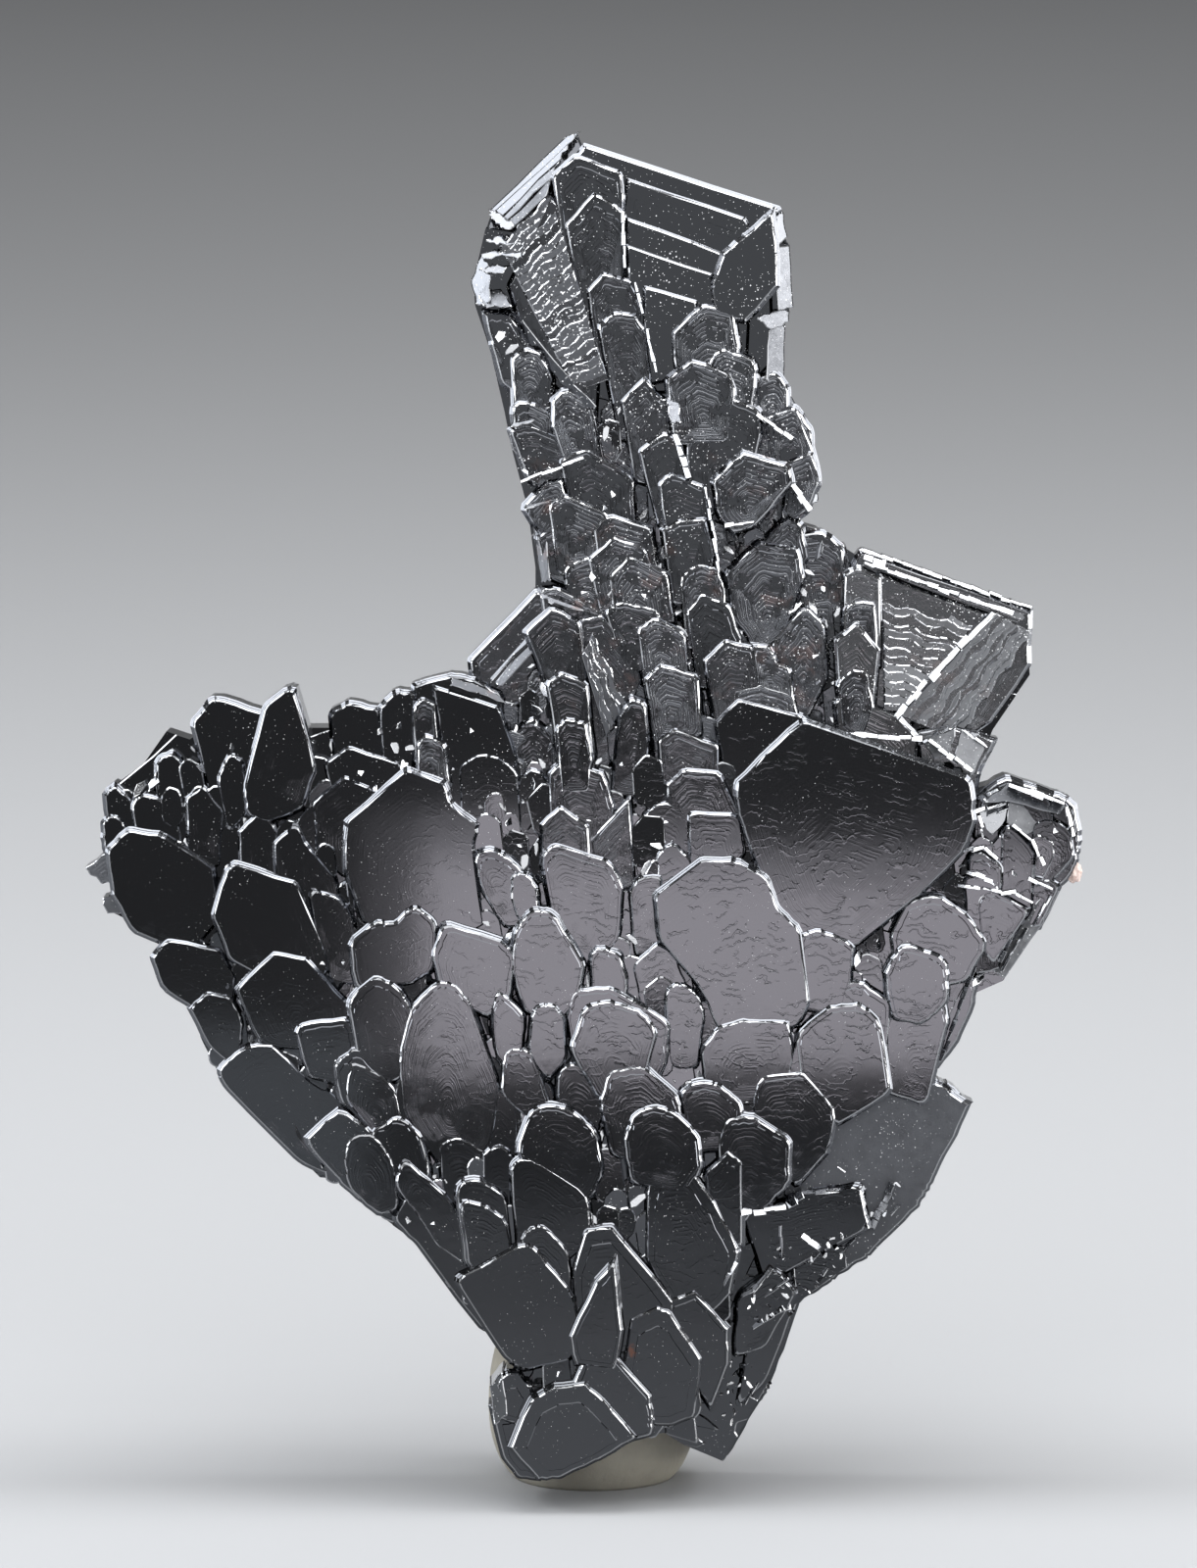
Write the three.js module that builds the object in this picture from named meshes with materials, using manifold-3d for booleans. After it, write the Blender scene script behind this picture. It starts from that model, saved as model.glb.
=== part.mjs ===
// Hematite specimen: a fan of flat, mirror-bright plates that grew together, standing on a lump of mounting putty.
//
// The crystal group is drawn face on: u runs right, v runs up and w runs towards the viewer, in millimetres.
// Every plate face is square to w. The whole group is then stood up and leaned back a little.
import * as THREE from "three";
import { mergeVertices } from "three/addons/utils/BufferGeometryUtils.js";
import Module from "manifold-3d";

// --- driving dimensions, in mm and degrees ---
const LEAN_DEG = 5; // how far the plate faces lean back from upright
const FOCUS = { u: 1, v: 5 }; // point near the tip from which the plates fan out
const REACH = 64; // from the focus to the top peak
const FRONT_SLOPE = 0.11; // how fast the front steps forward towards the focus
const BACK_SLOPE = 0.05; // the same for the back
const BACK_AT_RIM = -4.0; // w of the back at the full reach
const CORE_DEPTH_BELOW_FRONT = 1.0; // the core's front lies this far behind the stepping front
const PLATE_ROOT = 1.6; // how far a plate's root goes in behind the stepping front
const BACK_PLATE_RISE = 0.9; // how far a back plate stands out of the back
const BACK_PLATE_ROOT = 1.2; // how far a back plate's root goes into the core
const CONE_RADIUS = 80; // the core's two faces are cones of this radius
const CONE_SIDES = 36;
const TIP_LIFT = 0.1; // height of v = 0 above the surface the putty stands on
const TOUCH_GAP = 0.3; // gap kept between touching pieces

const MIDDLE_X = -0.05; // middle of the whole object's width and depth, before it is moved over the origin
const MIDDLE_Y = 1.15;

const PUTTY = { u: 0.25, depth: 1.2, baseRadius: 4.3, radius: 5.6, bulgeHeight: 4.0, height: 9.9, sides: 40 };
const GRAIN = { u: 24.85, v: 31.45, w: 2.6, radiusU: 0.45, radiusV: 0.6, radiusW: 0.45 };

// --- outline of the core, clockwise from the top peak ---
const CORE_OUTLINE = [
  [-0.55, 69.3], [-0.2, 68.5], [9.7, 65.3], [10.3, 63.4], [10.3, 60.0], [9.8, 58.6], [9.9, 56.2], [11.2, 53.9],
  [11.6, 51.0], [10.8, 49.3], [12.8, 48.2], [13.9, 47.5], [22.4, 44.6], [22.6, 41.5], [20.7, 38.7], [19.4, 35.6],
  [21.2, 36.1], [24.4, 35.0], [24.9, 33.4], [24.1, 32.3], [24.1, 30.6], [23.2, 28.9], [21.2, 25.9], [19.6, 25.2],
  [18.8, 23.2], [17.4, 20.9], [19.2, 19.7], [17.3, 15.8], [16.7, 14.6], [14.2, 12.1], [12.3, 10.8], [10.4, 9.4],
  [9.2, 5.6], [8.4, 4.2], [6.9, 1.5], [5.0, 2.3], [3.9, 3.0], [2.6, 2.9], [0.5, 2.0], [-1.5, 1.1], [-2.6, 0.9],
  [-3.9, 1.6], [-4.1, 3.0], [-4.8, 4.3], [-4.5, 5.7], [-3.7, 6.3], [-6.8, 10.0], [-8.8, 12.7], [-10.2, 13.7],
  [-12.5, 15.8], [-13.7, 15.9], [-15.8, 18.0], [-18.6, 20.6], [-19.7, 22.8], [-20.5, 24.6], [-22.1, 26.6],
  [-21.7, 28.3], [-23.2, 28.8], [-24.6, 29.5], [-24.0, 30.8], [-25.4, 31.4], [-24.4, 32.8], [-24.6, 35.6],
  [-22.8, 36.9], [-21.6, 38.6], [-20.4, 38.2], [-18.9, 39.2], [-15.2, 38.8], [-13.2, 38.8], [-9.2, 40.1],
  [-6.0, 41.1], [-5.0, 40.9], [-5.8, 42.0], [-2.7, 45.3], [-2.7, 47.0], [-3.1, 50.0], [-3.9, 53.0], [-4.3, 55.0],
  [-5.0, 58.0], [-5.8, 60.4], [-5.9, 61.6], [-5.3, 64.2], [-5.0, 65.1],
];

// --- the front plates, by place: [how far the face stands out of the stepping front, outline] ---
const TOP_CRYSTAL = [
  [0.3, [[-0.2, 68.5], [9.7, 65.3], [9.3, 63.2], [9.4, 57.5], [5.0, 54.5], [-3.2, 56.5], [-3.9, 60.8], [-1.7, 66.2]]],
  [0.5, [[2.0, 66.8], [8.0, 64.8], [8.4, 63.9], [8.0, 57.0], [1.6, 57.0], [1.7, 64.0]]],
  [0.7, [[2.0, 64.8], [6.9, 63.0], [7.2, 57.5], [2.0, 57.5]]],
  [0.8, [[2.0, 63.4], [6.3, 62.0], [6.6, 58.0], [2.2, 58.0]]],
  [0.9, [[2.9, 61.3], [5.5, 60.6], [5.9, 58.0], [2.8, 57.6]]],
  [1.5, [[9.4, 65.1], [8.0, 63.9], [6.9, 63.0], [6.35, 61.6], [6.5, 60.5], [8.0, 60.1], [9.65, 61.4], [9.6, 63.0]]],
  [0.6, [[-1.9, 65.8], [-4.0, 61.4], [-3.1, 58.9], [-1.9, 57.5], [0.4, 55.4], [0.6, 58.5], [0.0, 61.0], [-1.3, 65.2]]],
];
const SPINE = [
  [0.9, [[-1.8, 67.0], [-0.6, 68.0], [1.6, 67.2], [1.8, 66.0], [1.6, 63.6], [-1.1, 63.6]]],
  [0.9, [[-1.15, 64.5], [0.3, 66.1], [1.4, 65.5], [1.9, 65.0], [1.8, 62.2], [1.6, 60.6], [-0.1, 60.4]]],
  [0.9, [[0.0, 61.2], [0.8, 62.0], [2.2, 61.6], [2.7, 60.2], [2.6, 58.6], [0.5, 58.4]]],
  [0.9, [[0.5, 59.3], [1.3, 60.0], [2.4, 59.9], [2.9, 59.1], [3.3, 56.3], [3.2, 54.8], [1.6, 54.8]]],
  [0.9, [[1.7, 55.5], [2.9, 56.7], [3.5, 55.8], [4.1, 55.5], [4.2, 53.4], [3.8, 52.4], [2.4, 52.6]]],
  [0.9, [[2.6, 53.0], [3.9, 53.9], [4.7, 53.5], [5.1, 51.8], [5.2, 50.4], [3.6, 50.4]]],
  [0.9, [[3.6, 51.3], [4.2, 51.8], [5.9, 51.2], [6.4, 48.2], [6.9, 46.5], [6.4, 45.2], [4.6, 45.6], [4.1, 48.0]]],
  [1.0, [[3.8, 48.9], [4.6, 49.4], [6.0, 49.5], [6.4, 47.8], [6.2, 46.4], [4.3, 46.4]]],
  [0.9, [[5.0, 44.8], [5.8, 45.7], [7.2, 45.1], [7.8, 43.6], [7.6, 42.2], [5.6, 42.2]]],
  [1.0, [[5.9, 42.3], [7.0, 43.3], [8.4, 43.0], [8.8, 40.9], [8.6, 39.4], [6.6, 39.4]]],
];
const TRUNK_LEFT = [
  [0.3, [[-5.3, 60.1], [-4.0, 59.9], [-3.0, 58.3], [-2.6, 56.6], [-4.4, 56.4], [-4.9, 58.4]]],
  [0.6, [[-3.9, 57.7], [-3.1, 58.2], [-2.4, 57.9], [-1.8, 56.6], [-2.0, 55.2], [-3.8, 55.2]]],
  [1.0, [[-1.8, 55.6], [-1.2, 56.1], [0.1, 55.5], [0.8, 53.4], [-1.0, 53.2], [-1.8, 54.4]]],
  [0.6, [[-4.0, 54.0], [-3.0, 54.3], [0.0, 53.1], [0.2, 51.6], [-3.0, 51.4]]],
  [0.8, [[-1.4, 52.5], [-0.1, 53.1], [2.3, 51.6], [2.4, 50.0], [-0.6, 50.0]]],
  [0.8, [[-3.3, 50.1], [-2.1, 51.4], [-1.4, 51.5], [-1.0, 50.2], [-1.6, 48.8], [-2.6, 48.9]]],
  [0.9, [[-2.0, 50.2], [-1.2, 50.7], [1.0, 49.8], [1.2, 48.2], [-1.6, 48.0]]],
  [0.9, [[0.3, 49.1], [1.1, 49.7], [3.2, 49.0], [3.6, 47.4], [0.6, 47.2]]],
  [0.9, [[1.1, 46.6], [2.1, 47.6], [4.0, 46.8], [4.4, 45.2], [1.4, 44.8]]],
  [0.7, [[-1.2, 47.0], [0.0, 47.6], [1.0, 47.0], [1.2, 45.2], [-0.8, 45.2]]],
  [0.9, [[2.5, 43.9], [3.4, 44.5], [4.9, 43.7], [5.2, 42.0], [3.0, 41.8]]],
  [0.9, [[2.9, 41.4], [3.7, 42.1], [5.6, 41.5], [5.8, 39.6], [3.4, 39.4]]],
];
const TRUNK_RIGHT = [
  [1.0, [[4.3, 59.0], [5.8, 60.4], [7.4, 60.1], [7.7, 58.3], [7.4, 56.8], [4.6, 56.6]]],
  [1.0, [[6.2, 57.6], [6.8, 58.2], [8.4, 57.6], [8.6, 57.1], [8.3, 55.6], [6.4, 55.4]]],
  [1.2, [[4.0, 56.6], [5.3, 57.6], [7.2, 56.9], [7.5, 56.0], [7.2, 54.2], [4.4, 54.2]]],
  [1.0, [[5.0, 53.3], [7.1, 55.7], [8.7, 55.1], [8.8, 54.0], [8.2, 51.8], [6.2, 50.8], [5.2, 51.2]]],
  [1.6, [[6.4, 51.5], [7.9, 52.9], [10.2, 52.2], [10.4, 51.4], [8.5, 49.5], [7.4, 49.2], [6.6, 50.0]]],
  [0.5, [[9.4, 54.8], [10.6, 55.2], [11.5, 53.0], [11.8, 51.4], [11.2, 49.9], [9.6, 50.2]]],
  [1.0, [[7.0, 46.8], [8.6, 48.3], [10.1, 48.1], [10.7, 48.0], [11.0, 46.5], [9.9, 44.4], [8.6, 43.8], [7.4, 45.0]]],
  [0.8, [[9.4, 43.2], [10.9, 44.9], [11.3, 44.9], [12.0, 44.2], [12.2, 42.0], [11.2, 40.8], [9.8, 41.2]]],
  [0.5, [[10.4, 48.7], [12.0, 48.8], [13.0, 48.0], [13.0, 46.0], [11.0, 45.4]]],
];
const CENTRE_LEFT_CRYSTAL = [
  [0.2, [[-2.6, 45.8], [-6.0, 42.3], [-5.7, 41.3], [-4.4, 40.6], [-2.4, 42.0], [0.6, 43.4], [0.7, 44.7]]],
  [1.2, [[-3.2, 43.8], [-1.8, 45.0], [-0.4, 44.2], [0.0, 41.2], [-0.6, 40.4], [-1.6, 40.6]]],
  [1.2, [[-2.1, 41.2], [-1.4, 41.7], [-0.1, 41.2], [0.3, 38.0], [0.2, 37.0], [-1.4, 37.2]]],
  [0.7, [[-0.4, 44.4], [0.7, 44.6], [2.3, 42.9], [2.7, 41.3], [1.0, 38.3], [0.0, 38.2]]],
  [1.0, [[1.6, 39.5], [2.2, 40.4], [2.9, 40.1], [3.1, 38.1], [2.8, 36.4], [1.2, 36.6]]],
  [1.0, [[-2.0, 36.6], [-1.1, 37.3], [0.7, 36.6], [1.3, 35.2], [1.0, 33.8], [-1.8, 33.6]]],
  [1.0, [[-2.4, 34.0], [-1.4, 34.9], [0.0, 33.9], [0.2, 32.2], [-2.2, 32.0]]],
  [0.8, [[0.1, 33.3], [2.1, 35.3], [2.4, 32.0], [0.4, 31.6]]],
  [0.8, [[3.6, 38.2], [4.4, 38.8], [6.6, 38.0], [6.8, 36.4], [3.8, 36.2]]],
  [0.9, [[4.0, 36.0], [4.9, 36.8], [6.7, 36.6], [7.9, 34.4], [7.0, 32.8], [4.2, 33.0]]],
];
const RIGHT_BLOCK = [
  [-0.1, [[14.0, 47.8], [22.6, 44.8], [22.5, 42.0], [20.6, 39.2], [17.6, 38.6], [15.0, 38.9], [13.2, 41.5], [13.2, 46.6]]],
  [0.6, [[14.9, 46.6], [20.3, 44.6], [18.4, 42.0], [15.8, 39.5], [15.0, 38.9], [14.4, 40.4], [14.8, 43.0]]],
  [0.9, [[13.1, 46.7], [13.8, 47.0], [14.9, 46.4], [14.9, 43.2], [13.0, 43.2]]],
  [1.1, [[12.6, 43.3], [13.7, 44.2], [14.8, 42.8], [14.4, 39.2], [12.9, 39.6]]],
  [0.9, [[12.6, 40.2], [13.0, 40.6], [15.8, 39.4], [16.8, 38.5], [16.4, 37.0], [12.8, 37.6]]],
  [0.2, [[16.8, 38.6], [18.4, 38.9], [20.7, 38.2], [19.9, 36.5], [19.4, 35.4], [17.2, 36.2]]],
];
const BIG_PLATES = [
  [1.0, [[6.5, 39.2], [7.6, 40.3], [10.9, 39.5], [12.0, 38.6], [11.6, 36.6], [7.4, 35.6], [6.8, 37.6]]],
  [1.8, [[7.5, 36.0], [9.0, 37.6], [10.9, 39.3], [19.2, 36.4], [19.5, 36.0], [19.6, 34.0], [19.0, 32.6], [16.8, 30.5],
    [13.6, 28.0], [10.9, 28.5], [9.6, 29.9], [8.2, 33.0], [7.7, 34.5]]],
  [1.7, [[3.4, 30.4], [5.7, 32.2], [7.5, 32.2], [9.1, 31.3], [9.6, 29.8], [10.7, 28.7], [11.2, 25.0], [10.6, 24.0],
    [6.8, 23.6], [5.6, 26.0], [3.6, 28.3]]],
  [0.9, [[2.1, 30.6], [2.6, 31.3], [3.7, 31.4], [3.8, 28.8], [2.4, 28.6]]],
  [0.9, [[2.3, 26.9], [3.5, 28.0], [4.4, 27.4], [5.0, 25.9], [5.9, 24.5], [5.6, 22.8], [4.2, 22.8], [2.6, 25.2]]],
  [1.1, [[5.8, 22.6], [6.6, 23.7], [7.9, 24.1], [10.2, 24.0], [10.4, 22.3], [10.0, 20.8], [6.0, 20.8]]],
];
const RIGHT_WING = [
  [1.2, [[10.8, 28.4], [11.7, 28.7], [13.5, 27.9], [13.4, 26.4], [12.8, 25.2], [10.8, 25.4]]],
  [1.2, [[15.4, 28.4], [16.2, 30.0], [17.7, 30.45], [19.3, 29.4], [20.3, 28.0], [19.2, 26.0], [15.8, 26.2]]],
  [1.5, [[15.1, 26.6], [16.0, 27.95], [17.8, 27.4], [18.3, 26.8], [18.2, 25.2], [17.0, 24.4], [15.4, 24.6]]],
  [1.0, [[12.3, 25.6], [13.7, 26.1], [15.4, 25.0], [15.2, 23.6], [12.6, 23.6]]],
  [1.4, [[10.6, 23.4], [12.2, 24.75], [13.8, 24.95], [14.8, 24.1], [15.4, 20.8], [12.6, 19.4], [10.8, 21.4]]],
  [1.1, [[15.1, 24.2], [16.0, 25.2], [18.0, 25.3], [18.3, 24.0], [17.2, 20.8], [15.2, 21.2]]],
  [0.5, [[18.0, 26.6], [19.8, 26.2], [19.5, 24.5], [18.6, 22.6], [17.6, 21.4]]],
  [0.3, [[19.8, 35.2], [21.2, 36.3], [23.9, 35.4], [24.8, 35.0], [25.1, 33.2], [24.3, 32.2], [21.6, 31.2], [19.6, 32.2]]],
  [0.9, [[21.1, 33.7], [21.5, 33.9], [22.8, 32.6], [22.6, 30.8], [21.0, 31.2]]],
  [1.0, [[19.4, 32.4], [19.9, 32.65], [21.1, 31.9], [21.0, 30.6], [19.4, 29.4]]],
  [1.0, [[19.8, 30.3], [20.6, 30.65], [22.5, 29.6], [20.6, 26.8], [20.0, 28.2]]],
  [0.5, [[21.6, 30.8], [22.7, 31.3], [24.1, 30.9], [23.0, 28.6], [21.9, 29.0]]],
];
const LEFT_WING = [
  [0.9, [[-20.2, 39.1], [-19.2, 40.3], [-18.8, 40.3], [-16.5, 39.55], [-16.2, 37.8], [-17.6, 36.2], [-19.2, 36.4]]],
  [1.5, [[-16.4, 40.0], [-15.3, 40.85], [-15.0, 40.8], [-13.9, 37.0], [-14.6, 35.2], [-16.4, 34.6], [-17.4, 35.0], [-17.5, 36.1]]],
  [0.6, [[-22.0, 37.2], [-21.2, 37.6], [-20.4, 36.6], [-20.4, 35.0], [-22.0, 35.2]]],
  [0.9, [[-20.5, 35.3], [-19.6, 35.9], [-18.6, 34.6], [-18.8, 33.0], [-20.4, 33.2]]],
  [0.7, [[-24.7, 35.4], [-24.2, 35.9], [-23.3, 35.2], [-22.8, 33.6], [-24.4, 33.4]]],
  [1.4, [[-24.5, 32.7], [-23.4, 33.7], [-21.7, 33.4], [-19.1, 31.8], [-18.8, 29.4], [-20.4, 28.0], [-23.2, 28.6], [-24.2, 30.4]]],
  [1.5, [[-19.1, 29.4], [-18.4, 31.6], [-18.0, 32.0], [-14.8, 31.0], [-13.2, 27.3], [-13.6, 26.4], [-15.6, 26.2], [-18.2, 27.4]]],
  [0.9, [[-17.8, 33.6], [-16.7, 34.7], [-15.9, 33.8], [-15.6, 32.2], [-17.6, 31.8]]],
  [1.0, [[-16.0, 33.0], [-14.9, 34.0], [-14.3, 32.9], [-12.8, 31.2], [-12.6, 29.2], [-14.2, 28.6], [-15.8, 30.6]]],
  [0.9, [[-14.0, 35.1], [-12.4, 36.4], [-11.0, 35.8], [-10.8, 34.4], [-12.4, 32.6], [-13.8, 33.2]]],
  [0.8, [[-13.4, 37.0], [-12.2, 37.9], [-9.5, 37.0], [-9.4, 35.6], [-12.6, 35.0]]],
  [1.6, [[-12.3, 34.1], [-9.2, 36.8], [-7.3, 36.1], [-7.0, 35.0], [-5.6, 34.0], [-5.9, 33.0], [-5.3, 29.2], [-7.0, 28.4],
    [-9.8, 28.6], [-11.4, 29.4], [-12.4, 31.8]]],
  [0.7, [[-13.1, 39.6], [-12.2, 40.15], [-10.7, 39.75], [-10.5, 38.5], [-10.6, 37.0], [-12.8, 37.0]]],
  [0.8, [[-10.6, 39.9], [-9.8, 40.7], [-8.9, 40.6], [-8.8, 39.0], [-9.0, 37.6], [-10.4, 37.6]]],
  [0.6, [[-8.9, 41.0], [-7.0, 41.5], [-5.8, 41.3], [-4.4, 40.5], [-4.2, 39.2], [-8.6, 39.6]]],
  [1.0, [[-7.9, 41.0], [-4.5, 39.9], [-3.6, 37.6], [-4.6, 36.4], [-6.9, 35.8], [-7.5, 38.5]]],
  [1.0, [[-22.2, 27.2], [-21.4, 28.1], [-18.8, 27.6], [-18.0, 26.2], [-18.2, 24.6], [-19.8, 24.4], [-21.6, 25.6]]],
  [1.0, [[-20.3, 24.6], [-19.4, 25.4], [-18.2, 25.2], [-17.6, 24.0], [-17.8, 22.6], [-19.2, 22.6]]],
  [1.2, [[-17.9, 25.6], [-16.0, 27.5], [-14.2, 27.1], [-12.2, 25.0], [-12.2, 24.2], [-14.4, 23.4], [-16.6, 23.6]]],
];
const MIDDLE = [
  [1.5, [[-12.1, 28.0], [-10.8, 29.15], [-10.0, 28.95], [-8.8, 29.95], [-7.7, 29.0], [-7.8, 27.0], [-9.0, 26.4], [-11.8, 26.2]]],
  [1.5, [[-7.9, 27.5], [-7.3, 29.0], [-4.3, 28.1], [-3.7, 27.4], [-4.0, 25.6], [-5.0, 24.8], [-7.4, 25.6]]],
  [1.5, [[-12.2, 25.1], [-10.8, 26.4], [-9.6, 25.7], [-9.0, 24.7], [-8.8, 22.6], [-9.8, 21.4], [-11.6, 22.0]]],
  [1.2, [[-5.8, 32.5], [-4.9, 32.8], [-3.9, 32.2], [-2.6, 30.9], [-2.7, 29.9], [-4.2, 29.6], [-5.4, 30.8]]],
  [1.5, [[-9.0, 24.8], [-7.6, 26.1], [-6.8, 26.0], [-5.9, 24.9], [-4.5, 20.9], [-4.8, 18.4], [-5.8, 17.0], [-7.6, 17.2],
    [-9.4, 19.6], [-9.6, 22.4]]],
  [1.1, [[-14.9, 23.6], [-14.5, 23.9], [-12.1, 24.2], [-11.8, 22.8], [-12.6, 21.8], [-14.2, 22.0]]],
  [1.3, [[-12.9, 21.9], [-11.7, 22.8], [-10.4, 21.4], [-9.4, 19.2], [-10.6, 18.6], [-12.6, 20.2]]],
  [1.2, [[-11.1, 18.4], [-9.6, 19.25], [-8.5, 18.3], [-8.0, 16.6], [-9.2, 15.6], [-10.8, 16.8]]],
  [1.3, [[-4.9, 24.6], [-4.6, 25.7], [-3.2, 24.4], [-3.3, 23.0], [-3.8, 22.0], [-4.7, 22.8]]],
  [1.2, [[-4.3, 22.3], [-4.0, 22.7], [-2.9, 22.6], [-1.9, 20.4], [-2.6, 19.6], [-4.4, 20.6]]],
  [1.6, [[-3.7, 28.6], [-2.9, 29.75], [-1.8, 29.6], [-0.2, 27.0], [-0.6, 25.2], [-1.6, 24.4], [-3.2, 24.8], [-3.9, 26.8]]],
  [1.1, [[-2.4, 32.3], [-1.8, 33.05], [1.1, 32.1], [1.8, 30.9], [1.6, 28.8], [0.4, 27.6], [-1.6, 28.6]]],
  [1.1, [[0.1, 27.4], [0.5, 27.8], [1.6, 27.5], [2.0, 26.2], [1.6, 25.0], [0.2, 25.2]]],
  [1.2, [[-1.1, 24.3], [-0.8, 25.6], [1.2, 25.8], [4.1, 24.0], [4.0, 22.4], [3.0, 20.8], [0.4, 20.8], [-0.8, 22.4]]],
  [1.6, [[-0.9, 22.7], [-0.2, 24.8], [1.0, 25.15], [2.7, 24.6], [3.5, 23.6], [2.6, 20.6], [0.6, 20.4]]],
  [1.4, [[0.6, 20.0], [1.1, 21.6], [2.8, 21.8], [4.6, 20.2], [4.8, 18.6], [3.8, 17.4], [1.2, 17.8]]],
  [1.2, [[4.7, 20.6], [5.8, 21.1], [6.9, 20.7], [7.8, 19.9], [7.8, 18.4], [5.0, 18.2]]],
  [1.6, [[1.8, 18.0], [2.3, 19.4], [3.4, 19.9], [4.5, 19.4], [5.6, 18.3], [5.8, 16.8], [4.8, 15.8], [2.2, 16.2]]],
  [1.5, [[-3.6, 17.6], [-2.9, 19.6], [-2.0, 19.9], [-0.8, 19.6], [0.4, 18.5], [0.8, 16.8], [0.2, 15.6], [-2.6, 15.4]]],
  [1.3, [[6.6, 18.0], [7.0, 19.1], [8.3, 19.3], [10.3, 18.0], [10.2, 16.2], [8.6, 15.0], [6.8, 15.8]]],
  [1.0, [[8.3, 19.8], [8.7, 21.2], [10.9, 21.5], [12.6, 19.5], [12.2, 18.0], [10.6, 16.8], [9.2, 17.8]]],
];
const LOWER_LEFT = [
  [1.1, [[-18.8, 21.6], [-17.6, 22.6], [-16.2, 22.9], [-13.9, 20.7], [-13.0, 20.4], [-11.0, 18.3], [-11.2, 16.6],
    [-12.6, 15.9], [-14.6, 16.8], [-18.6, 20.8]]],
  [1.3, [[-14.4, 18.0], [-12.6, 19.6], [-10.9, 18.4], [-9.6, 15.0], [-10.6, 14.2], [-12.4, 15.7]]],
  [0.9, [[-9.9, 14.0], [-8.8, 15.9], [-7.2, 14.6], [-6.0, 13.8], [-4.2, 8.2], [-5.4, 8.4], [-8.7, 12.8]]],
  [1.2, [[-9.4, 17.1], [-7.2, 15.2], [-6.2, 14.0], [-6.0, 12.4], [-7.6, 13.2], [-9.8, 15.8]]],
  [1.2, [[-6.7, 15.6], [-5.9, 16.2], [-4.2, 15.3], [-3.8, 12.2], [-6.2, 12.4]]],
  [1.4, [[-6.7, 11.0], [-3.4, 12.8], [-2.9, 12.8], [-0.8, 10.3], [-0.5, 9.0], [-0.8, 7.4], [-3.4, 6.4], [-4.3, 7.2]]],
  [1.3, [[-3.9, 16.7], [-3.6, 17.1], [-2.8, 17.1], [-0.1, 15.4], [0.2, 13.6], [-1.0, 12.6], [-3.6, 12.6]]],
];
const LOWER_RIGHT = [
  [1.2, [[-0.7, 11.6], [-0.1, 13.5], [1.2, 13.7], [4.3, 10.1], [4.2, 8.6], [1.0, 8.0], [-0.6, 9.6]]],
  [1.7, [[-0.9, 8.3], [0.4, 10.9], [1.3, 12.0], [1.7, 8.6], [1.4, 6.8], [-0.6, 7.0]]],
  [1.3, [[3.0, 15.3], [3.4, 16.7], [5.0, 16.8], [6.4, 14.9], [7.6, 12.6], [7.2, 10.8], [5.8, 9.6], [4.4, 10.2], [3.0, 12.2]]],
  [1.2, [[6.0, 16.4], [7.1, 17.5], [7.8, 16.9], [7.8, 13.6], [6.4, 13.6]]],
  [0.9, [[4.1, 9.9], [5.4, 10.4], [7.1, 8.5], [7.1, 7.2], [6.2, 5.8], [4.4, 7.6]]],
  [1.0, [[2.2, 9.0], [3.5, 9.6], [4.1, 9.4], [5.7, 7.0], [5.4, 4.8], [4.2, 3.6], [2.4, 3.8], [1.8, 6.6]]],
  [-0.3, [[9.0, 20.6], [12.0, 20.0], [17.8, 20.8], [19.4, 19.7], [17.6, 16.0], [16.8, 14.6], [14.2, 12.0], [12.4, 10.8],
    [10.6, 9.6], [9.2, 5.4], [8.6, 4.4], [7.0, 1.8], [5.2, 2.6], [5.6, 10.0], [8.0, 15.0]]],
];
const TIP = [
  [1.2, [[-0.1, 7.4], [0.9, 7.7], [3.1, 5.2], [3.3, 4.3], [3.2, 3.2], [0.6, 2.4], [-1.0, 5.0]]],
  [1.6, [[-2.9, 5.0], [-1.8, 5.6], [-0.2, 5.85], [0.7, 5.1], [2.4, 3.1], [0.5, 2.0], [-1.4, 1.1], [-2.5, 1.0], [-3.9, 2.6]]],
  [0.8, [[-4.6, 5.8], [-4.2, 6.2], [-3.4, 6.2], [-2.8, 5.2], [-3.4, 3.6], [-4.6, 4.0]]],
];

// --- the room for the tip in the putty: its outline, and how far from the focus the back is measured ---
const TIP_POCKET = [
  [-5.3, 3.0], [-5.2, 6.4], [-11, 14], [14, 14], [10.6, 6], [7.4, 1.0], [5.0, 1.8], [3.4, 2.5], [0.6, 1.4],
  [-1.5, 0.6], [-2.8, 0.4], [-4.4, 1.2],
];
const TIP_POCKET_REACH = 10;

// --- the back plates: [u, v, radius], each an irregular hexagon ---
const BACK_PLATES = [
  [2.5, 62.5, 4.6], [5.5, 55.5, 4.4], [1.0, 50.5, 3.6], [7.0, 46.0, 4.2], [0.5, 43.0, 3.8], [17.5, 42.0, 3.6],
  [11.0, 38.5, 4.8], [2.5, 35.0, 5.4], [18.0, 31.0, 4.8], [-6.5, 35.0, 4.6], [-13.5, 35.0, 3.9], [-20.0, 33.0, 4.0],
  [9.5, 28.5, 4.6], [-1.5, 26.5, 5.0], [-9.0, 27.0, 4.6], [-16.5, 26.5, 4.2], [15.0, 22.0, 3.6], [5.5, 20.5, 4.4],
  [-4.5, 18.5, 4.0], [-11.5, 19.5, 3.2],
];
const HEXAGON_TURN_DEG = 12; // turn of the back plates' long corner from straight up
const HEXAGON_STRETCH = 1.18; // height of a back plate over its width

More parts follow.
